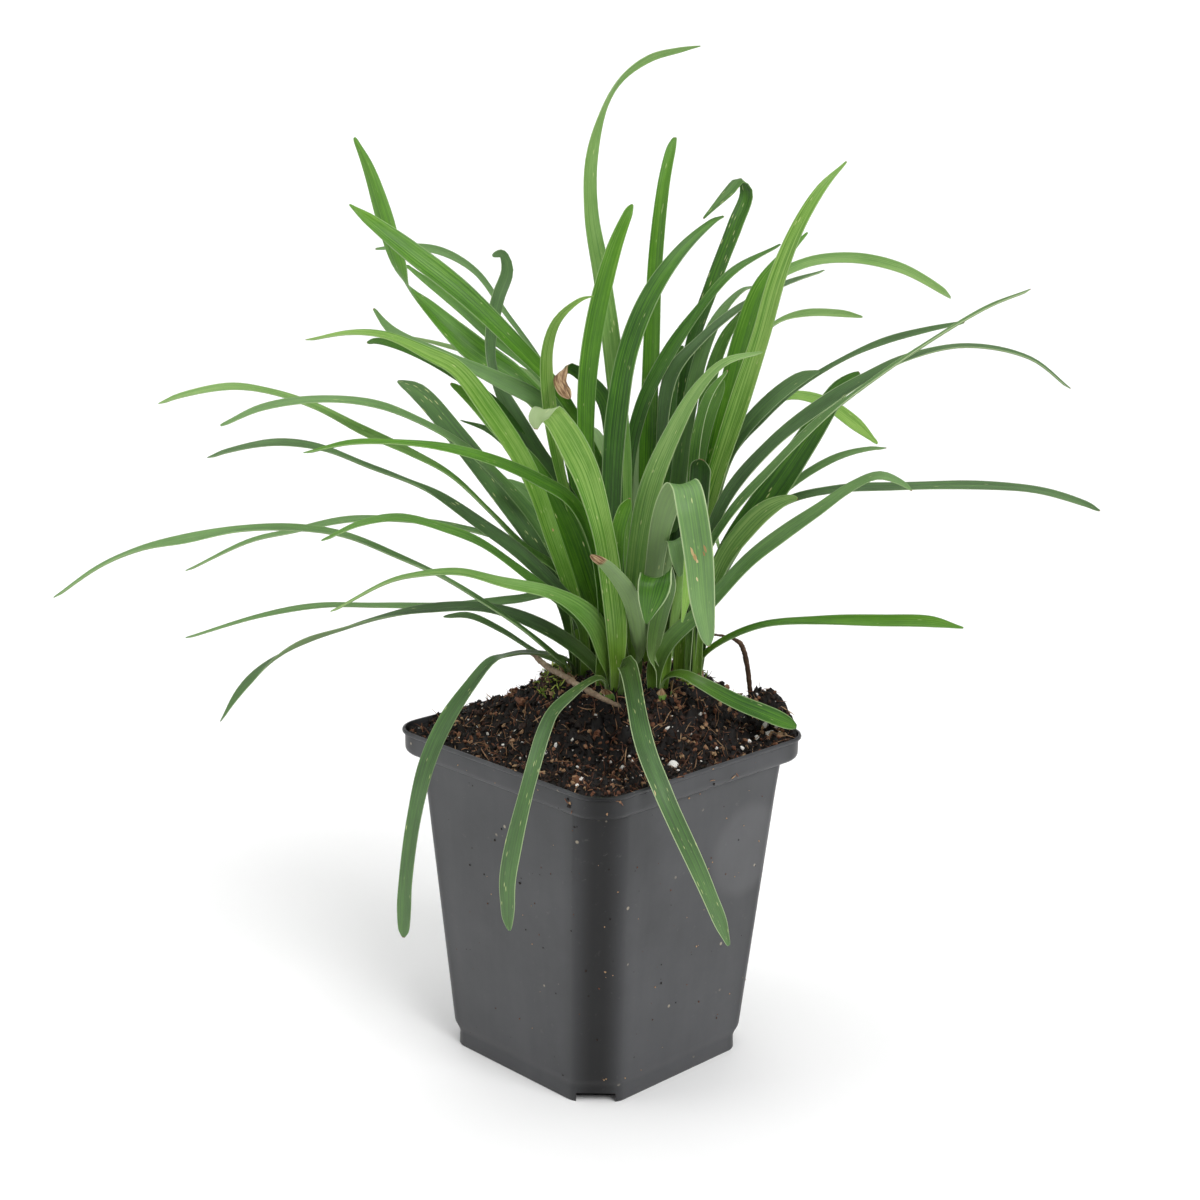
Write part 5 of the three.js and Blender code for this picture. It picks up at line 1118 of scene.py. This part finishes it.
def chip_finish():
    """Perlite: chalky white chips with grey pits."""
    f = Finish("perlite", 0.75, 0.3)
    place = f.node("ShaderNodeTexCoord", 3)
    pits = f.noise(place, scale=1600.0, detail=4.0, roughness=0.7)
    shade = f.attribute("shade", "Fac")
    base = f.ramp(f.math("MULTIPLY_ADD", pits, 0.8), (0.28, "#a39b8f"), (0.45, "#dcd7cc"), (0.7, "#f7f5f0"))
    f.tree.nodes[-1].inputs[0].default_value = 0
    base = f.mix(f.math("MULTIPLY", shade, 0.5), base, "#9b8a72")
    f.relief(pits, 0.2, 0.7)
    return f.done(base)


def moss_finish():
    f = Finish("moss", 0.7, 0.3)
    shade = f.attribute("shade", "Fac")
    return f.done(f.ramp(shade, (0.0, "#3c4d16"), (0.5, "#7c9a2f"), (1.0, "#c3cc6c")))


def scar_finish():
    f = Finish("leaf_scar", 0.7, 0.3)
    shade = f.attribute("shade", "Fac")
    return f.done(f.ramp(shade, (0.0, "#7a5a36"), (0.5, "#b59665"), (1.0, "#d8cf9f")))


SOIL = soil_finish()
SCAR = scar_finish()
PERLITE = chip_finish()
MOSS = moss_finish()


def chip_form(dice, faces_twice, rough):
    """A rough lump with a few dozen faces, about one unit across."""
    bpy.ops.mesh.primitive_ico_sphere_add(subdivisions=2 if faces_twice else 1, radius=0.5)
    lump = bpy.context.object
    corners = np.array([vertex.co[:] for vertex in lump.data.vertices])
    shift = Vector((dice.random() * 50, dice.random() * 50, 0))
    for index, corner in enumerate(corners):
        corners[index] *= 1 + rough * noise.noise(Vector(corner) * 2.6 + shift)
        corners[index] *= 1 + rough * 0.6 * (dice.random() - 0.5)
    faces = [tuple(face.vertices) for face in lump.data.polygons]
    bpy.data.objects.remove(lump)
    return corners, faces


def scattered(name, forms, spots, material, slot="peat"):
    """One piece from copies of a few forms, each with its place, axes, sizes and shade."""
    corners, faces, shades = [], [], []
    count = 0
    for form, place, axes, shade in spots:
        shape, sides = forms[form]
        corners.append(shape @ axes + place)
        faces += [tuple(index + count for index in side) for side in sides]
        shades.append(np.full(len(shape), shade))
        count += len(shape)
    mesh = bpy.data.meshes.new(name)
    mesh.from_pydata(np.concatenate(corners) * MM, [], faces)
    mesh.attributes.new("shade", "FLOAT", "POINT").data.foreach_set("value", np.concatenate(shades))
    mesh.materials.append(material)
    piece = bpy.data.objects.new(name, mesh)
    bpy.context.scene.collection.objects.link(piece)
    return settle(piece, slot)


def turned(dice, sizes, normal=(0, 0, 1), lie=0.0):
    """Scaled axes at a random turn, flatter along the normal as lie nears 1."""
    spin = np.array([dice.gauss(0, 1) for _ in range(3)])
    normal = np.array(normal)
    w = unit(normal * lie + spin * (1 - lie) * 0.6)
    u = unit(np.cross(w, [dice.gauss(0, 1) for _ in range(3)]))
    return np.stack([u * sizes[0], np.cross(w, u) * sizes[1], w * sizes[2]])


def tree_of(*pieces):
    corners, faces = [], []
    for piece in pieces:
        faces += [tuple(index + len(corners) for index in face.vertices) for face in piece.data.polygons]
        corners += [vertex.co.copy() for vertex in piece.data.vertices]
    return BVHTree.FromPolygons(corners, faces)


def seen_spot(tree, across, down):
    """Where the line of sight through a point of the board meets a surface, and its normal."""
    far = board_point(across, down, 80.0)
    place, normal, _, _ = tree.ray_cast(Vector(STATION * MM), Vector(unit(far - STATION)))
    return (np.array(place) / MM, np.array(normal)) if place else (None, None)


ABOVE_SOIL = 300
POT_REACH = 58


def ground_spot(tree, x, y):
    """The place on the soil under a point, and its normal."""
    place, normal, _, _ = tree.ray_cast(Vector((x * MM, y * MM, ABOVE_SOIL * MM)), Vector((0, 0, -1)))
    return (np.array(place) / MM, np.array(normal)) if place else (None, None)


def soil_spot(tree, dice, edge=0.985):
    """A random place on the soil and its normal."""
    while True:
        x, y = dice.uniform(-POT_REACH, POT_REACH), dice.uniform(-POT_REACH, POT_REACH)
        reach = rim_reach(math.atan2(y, x), RIM_HALF - WALL - 0.4, RIM_CORNER - WALL - 0.4)
        if math.hypot(x, y) < reach * edge:
            return ground_spot(tree, x, y)


def crumb_shade(dice):
    """Most crumbs are dark and damp, about one in four is dry and light."""
    return dice.uniform(0.62, 1.0) if dice.random() < 0.26 else dice.uniform(0.08, 0.5)


FINE_CRUMBS = 7200
COARSE_CRUMBS = 330


def make_crumbs(tree):
    dice = random.Random(23)
    forms = [chip_form(dice, False, 0.7) for _ in range(6)] + [chip_form(dice, True, 0.8) for _ in range(5)]
    spots = []
    for _ in range(FINE_CRUMBS):
        place, normal = soil_spot(tree, dice)
        size = 0.5 + 1.5 * dice.random() ** 2
        sizes = (size, size * dice.uniform(0.6, 1.0), size * dice.uniform(0.5, 0.9))
        spots.append((dice.randrange(6), place + normal * size * 0.2, turned(dice, sizes), crumb_shade(dice)))
    for _ in range(COARSE_CRUMBS):
        place, normal = soil_spot(tree, dice, 0.95)
        size = dice.uniform(1.6, 3.6)
        sizes = (size, size * dice.uniform(0.5, 0.9), size * dice.uniform(0.3, 0.7))
        spots.append((6 + dice.randrange(5), place + normal * size * 0.18,
                      turned(dice, sizes, normal, 0.5), crumb_shade(dice)))
    scattered("soil_crumbs", forms, spots, SOIL)


def sliver(dice, length, radius, rise, place, normal):
    """A bent three-sided fibre as corners and faces."""
    heading = unit(np.cross(normal, [dice.gauss(0, 1) for _ in range(3)]))
    sideways = np.cross(normal, heading)
    bend = dice.uniform(-0.6, 0.6)
    corners = []
    for step in range(5):
        s = step / 4 - 0.5
        middle = (place + heading * length * s + sideways * bend * length * s * s
                  + normal * (radius + rise * (0.5 + s) * length))
        thin = radius * (1 - 0.7 * abs(2 * s) ** 3)
        for k in range(3):
            angle = k * 2 * math.pi / 3
            corners.append(middle + (sideways * math.cos(angle) + normal * math.sin(angle)) * thin)
    return np.array(corners)


SLIVER_FACES = ([(r * 3 + k, r * 3 + (k + 1) % 3, r * 3 + 3 + (k + 1) % 3, r * 3 + 3 + k)
                 for r in range(4) for k in range(3)] + [(2, 1, 0), (12, 13, 14)])


def fibres(name, dice, places, material, lengths, radii, shades, rise):
    forms, spots = [], []
    for place, normal in places:
        bent = sliver(dice, dice.uniform(*lengths), dice.uniform(*radii), rise * dice.random(), place, normal)
        forms.append((bent, SLIVER_FACES))
        spots.append((len(forms) - 1, np.zeros(3), np.eye(3), dice.uniform(*shades)))
    return scattered(name, forms, spots, material)


PEAT_FIBRES = 2200
PERLITE_GRAINS = 420
# Large perlite chips: place on the board and size.
LARGE_CHIPS = (
    (672, 765, 3.6), (757, 738, 2.2), (770, 735, 3.0), (765, 725, 2.0), (776, 727, 2.4),
    (748, 742, 1.8), (741, 748, 1.6), (622, 768, 1.8), (632, 762, 1.4), (581, 779, 1.7),
    (598, 759, 1.3), (645, 764, 1.5), (555, 745, 1.5), (546, 752, 1.3), (577, 768, 1.4),
    (716, 748, 1.3), (668, 728, 1.6), (700, 714, 1.4), (596, 716, 1.2), (512, 738, 1.3),
    (505, 748, 1.4), (530, 664, 1.8), (524, 674, 1.6), (537, 682, 1.3), (477, 727, 1.2))
# Moss that faces the viewer: place on the board, spread and number of shoots.
MOSS_CLUMPS = (
    (556, 674, 5.0, 120), (548, 690, 3.5, 60), (563, 664, 3.0, 50), (580, 653, 3.5, 50),
    (575, 668, 3.0, 40), (688, 682, 2.5, 26), (700, 672, 2.5, 24), (590, 662, 2.5, 24))
# Moss on the far side: place on the soil.
FAR_MOSS = ((14, 36), (-12, 28), (30, 22))
FAR_SHOOTS = 60


def make_litter(tree):
    """Fibre, perlite and moss on the soil, each where it lies."""
    dice = random.Random(37)
    fibres("peat_fibres", dice, [soil_spot(tree, dice) for _ in range(PEAT_FIBRES)], SOIL,
           (1.5, 6.5), (0.07, 0.2), (0.35, 1.0), 0.4)
    forms = [chip_form(dice, True, 0.38) for _ in range(5)]
    spots = []
    for across, down, size in LARGE_CHIPS:
        place, normal = seen_spot(tree, across, down)
        if place is not None:
            sizes = (size, size * 0.8, size * 0.55)
            spots.append((dice.randrange(5), place + normal * size * 0.2,
                          turned(dice, sizes, normal, 0.6), dice.random() * 0.5))
    for _ in range(PERLITE_GRAINS):
        place, normal = soil_spot(tree, dice)
        size = 0.35 + 1.1 * dice.random() ** 3
        spots.append((dice.randrange(5), place + normal * size * 0.3,
                      turned(dice, (size, size * 0.8, size * 0.6)), dice.random()))
    scattered("perlite_chips", forms, spots, PERLITE)
    places = []
    for across, down, radius, count in MOSS_CLUMPS:
        for _ in range(count):
            beside, below = dice.gauss(0, radius * 1.7), dice.gauss(0, radius)
            place, normal = seen_spot(tree, across + beside, down + below)
            if place is not None and place[2] > SOIL_EDGE:
                places.append((place, unit(normal + np.array([0, 0, 0.6]))))
    for x, y in FAR_MOSS:
        for _ in range(FAR_SHOOTS):
            place, normal = ground_spot(tree, x + dice.gauss(0, 2.5), y + dice.gauss(0, 2.5))
            if place is not None:
                places.append((place, normal))
    fibres("moss_tufts", dice, places, MOSS, (1.0, 2.6), (0.12, 0.3), (0.1, 1.0), 1.0)


# Grains stuck to the pot: place on the board and size.
PALE_GRAINS = (
    (570, 803, 0.9), (620, 802, 0.8), (607, 814, 0.7), (605, 972, 0.6), (655, 987, 0.6),
    (618, 892, 0.5), (625, 1078, 0.5), (604, 1080, 0.5), (458, 765, 0.5), (713, 769, 0.5),
    (689, 798, 0.7), (606, 1079, 0.5), (538, 790, 0.4), (495, 783, 0.4), (641, 1070, 0.4))
DARK_GRAINS = (
    (586, 971, 0.8), (661, 983, 0.7), (597, 1040, 0.7), (520, 883, 0.9), (495, 840, 0.7),
    (470, 865, 0.7), (569, 806, 1.3), (568, 799, 0.9), (714, 784, 0.8), (683, 777, 0.7))
STUCK_FIBRES = (
    (733, 777), (737, 775), (680, 777), (621, 803), (618, 801), (712, 780), (515, 771), (536, 774),
    (567, 801), (572, 812))
LOOSE_GRAINS = 260


def make_strays(tree):
    """Grains and short fibres of soil that have stuck to the pot, each at its place."""
    dice = random.Random(5)
    forms = [chip_form(dice, True, 0.5) for _ in range(4)]
    spots = []
    for shade, grains in ((0.95, PALE_GRAINS), (0.3, DARK_GRAINS)):
        for across, down, size in grains:
            place, normal = seen_spot(tree, across, down)
            if place is not None:
                spots.append((dice.randrange(4), place + normal * size * 0.12,
                              turned(dice, (size, size * 0.8, size * 0.5), normal, 0.9), shade))
    for _ in range(LOOSE_GRAINS):
        bearing, height = dice.uniform(0, 2 * math.pi), POT_HEIGHT * (0.04 + 0.92 * dice.random() ** 0.8)
        out = Vector((math.cos(bearing), math.sin(bearing), 0))
        place, normal, _, _ = tree.ray_cast(out * 90 * MM + Vector((0, 0, height * MM)), -out)
        size = 0.22 + 0.45 * dice.random() ** 2
        place, normal = np.array(place) / MM, np.array(normal)
        spots.append((dice.randrange(4), place + normal * size * 0.12,
                      turned(dice, (size, size * 0.8, size * 0.5), normal, 0.9),
                      dice.choice((0.25, 0.6, 1.0))))
    scattered("stray_grains", forms, spots, SOIL)
    places = [seen_spot(tree, *spot) for spot in STUCK_FIBRES]
    fibres("stray_fibres", dice, [spot for spot in places if spot[0] is not None], SOIL,
           (1.6, 3.4), (0.12, 0.2), (0.75, 1.0), 0.1)


# Scars on the leaves: place on the board, length and width.
SCARS = (
    (692, 552, 2.6, 0.8), (695, 557, 2.2, 0.9), (697, 561, 1.2, 0.6), (705, 549, 2.2, 0.7),
    (704, 554, 1.2, 0.5), (697, 579, 1.4, 0.4), (608, 620, 0.9, 0.4), (553, 530, 0.9, 0.6),
    (655, 793, 1.6, 0.4), (696, 888, 1.8, 0.5), (700, 897, 1.4, 0.5))
SCAR_DEPTH = 0.14


def make_scars(tree):
    """Thin dry scars on the leaves, each at its place."""
    dice = random.Random(3)
    forms = [chip_form(dice, True, 0.5) for _ in range(3)]
    spots = []
    for across, down, length, width in SCARS:
        place, normal = seen_spot(tree, across, down)
        if place is not None:
            along = unit(np.cross(normal, [1.0, 0.0, 0.35]))
            axes = np.stack([along * length, np.cross(normal, along) * width, normal * SCAR_DEPTH])
            spots.append((dice.randrange(3), place, axes, dice.uniform(0.1, 0.9)))
    scattered("leaf_scars", forms, spots, SCAR, "leaf")


# ---------------------------------------------------------------- dry stems

TWIG = ([[528, 649, 11.7], [545, 665, 5.3], [562, 675, -5.9], [580, 686, -14.4],
         [600, 697, -19.7], [620, 706, -24]],
        [0.8, 0.95, 0.9, 0.9, 0.85, 0.6])
SHOOT = ([[684, 674, 13.9], [687, 655, 14.4], [694, 640, 13.9], [708, 635, 13.3], [728, 637, 12.8],
          [740, 643, 12.3], [745, 655, 11.7], [748, 672, 11.7], [750, 690, 11.7], [751, 706, 11.7]],
         [0.4, 0.4, 0.4, 0.4, 0.45, 0.75, 0.85, 0.85, 0.8, 0.7])


def make_stem(name, node, stem, slot, material, knobs):
    """A dry stem: a round curve along its course, made a mesh and roughened."""
    course, radii = stem
    line = bpy.data.curves.new(name, "CURVE")
    line.dimensions = "3D"
    line.bevel_depth = 1.0 * MM
    line.bevel_resolution = 4
    line.use_fill_caps = True
    strand = line.splines.new("POLY")
    places = [board_point(*spot) for spot in course]
    steps = (len(places) - 1) * 12
    strand.points.add(steps)
    for step in range(steps + 1):
        share = step / steps
        strand.points[step].co = (*(curve_spot(places, share) * MM), 1)
        strand.points[step].radius = spread(radii, share) * 0.93
    stick = bpy.data.objects.new(name, line)
    bpy.context.scene.collection.objects.link(stick)
    stick.select_set(True)
    bpy.context.view_layer.objects.active = stick
    bpy.ops.object.convert(target="MESH")
    stick = bpy.context.object
    mesh = stick.data
    normals = [vertex.normal.copy() for vertex in mesh.vertices]
    for vertex, normal in zip(mesh.vertices, normals):
        spot = vertex.co / MM
        vertex.co += normal * MM * knobs * noise.fractal(spot * 1.4, 0.7, 2.0, 3)
    mesh.materials.clear()
    mesh.materials.append(material)
    mesh.shade_smooth()
    return settle(joined(name, [stick]), slot, node)


def bark_finish(name, stops, roughness):
    f = Finish(name, roughness, 0.3)
    place = f.node("ShaderNodeTexCoord", 3)
    grain = f.noise(place, scale=700.0, detail=5.0, roughness=0.7)
    patch = f.noise(place, scale=160.0, detail=2.0)
    level = f.math("ADD", f.math("MULTIPLY", grain, 0.6), f.math("MULTIPLY", patch, 0.4))
    f.relief(grain, 0.25, 0.8)
    return f.done(f.ramp(level, *stops))


# ---------------------------------------------------------------- the whole plant

pot = make_pot()
soil = make_soil()
soil_tree = tree_of(soil)
make_crumbs(soil_tree)
make_litter(soil_tree)
make_strays(tree_of(pot))
make_scars(tree_of(*make_leaves()))
make_stem("dry_twig", "twig", TWIG, "dry_wood",
          bark_finish("dry_wood", ((0.3, "#4e4032"), (0.5, "#8f7b66"), (0.7, "#b8a892")), 0.8), 0.35)
make_stem("dead_shoot", "dry_shoot", SHOOT, "dry_stalk",
          bark_finish("dry_stalk", ((0.3, "#2a1d15"), (0.5, "#4f392b"), (0.7, "#80644c")), 0.75), 0.2)

# ---------------------------------------------------------------- floor, light and camera

# A sheet of paper that lies under the pot and sweeps up far behind it, in metres.
PAPER_FRONT = -3
PAPER_HALF_WIDTH = 9
PAPER_LENGTH = 12
PAPER_FLAT = 7.5
PAPER_BEND = 2.4
bpy.ops.mesh.primitive_grid_add(x_subdivisions=1, y_subdivisions=48, size=2)
floor = bpy.context.object
floor.name = "floor"
for vertex in floor.data.vertices:
    length = (vertex.co.y + 1) * PAPER_LENGTH / 2
    bend = min(max(length - PAPER_FLAT, 0) / PAPER_BEND, math.pi / 2)
    rise = PAPER_BEND * (1 - math.cos(bend)) + max(length - PAPER_FLAT - PAPER_BEND * math.pi / 2, 0)
    vertex.co = (vertex.co.x * PAPER_HALF_WIDTH,
                 PAPER_FRONT + min(length, PAPER_FLAT) + PAPER_BEND * math.sin(bend), rise)
bpy.ops.object.shade_smooth()
paper = Finish("floor_paper", 0.8, 0.2)
floor.data.materials.append(paper.done(colour("#fbfbfb")))

world = bpy.context.scene.world or bpy.data.worlds.new("studio")
bpy.context.scene.world = world
world.use_nodes = True
world.node_tree.nodes["Background"].inputs[0].default_value = (1.0, 1.0, 1.0, 1.0)
world.node_tree.nodes["Background"].inputs[1].default_value = 0.3


def lamp(kind, name, place, power, target=(0, 0, 0.1), size=None, angle=0.0):
    """A softbox of a size, or a far light that fills an angle, turned to its target."""
    light = bpy.data.lights.new(name, kind)
    light.energy = power
    if size:
        light.shape = "RECTANGLE"
        light.size, light.size_y = size
    else:
        light.angle = math.radians(angle)
    holder = bpy.data.objects.new(name, light)
    holder.location = place
    holder.rotation_euler = (Vector(target) - Vector(place)).to_track_quat("-Z", "Y").to_euler()
    bpy.context.scene.collection.objects.link(holder)


lamp("SUN", "key", (0.8, -1.05, 1.4), 1.95, angle=34)
lamp("SUN", "top", (-0.15, 0.35, 2.0), 1.3, angle=60)
lamp("AREA", "left_fill", (-1.3, -0.2, 0.8), 5, size=(0.9, 1.1))

SENSOR_WIDTH = 36
camera = bpy.data.objects.new("camera", bpy.data.cameras.new("camera"))
camera.data.sensor_width = SENSOR_WIDTH
camera.data.lens = SENSOR_WIDTH * BOARD_DISTANCE / (2 * BOARD_CENTRE * BOARD_UNIT)
camera.location = STATION * MM
camera.rotation_euler = (Matrix.Rotation(math.radians(90) - SIGHT_PITCH, 3, "X")
                         @ Matrix.Rotation(BOARD_TURN, 3, "Z")).to_euler()
bpy.context.scene.collection.objects.link(camera)
bpy.context.scene.camera = camera
bpy.context.scene.view_settings.view_transform = "Standard"
bpy.context.scene.view_settings.exposure = 0.0
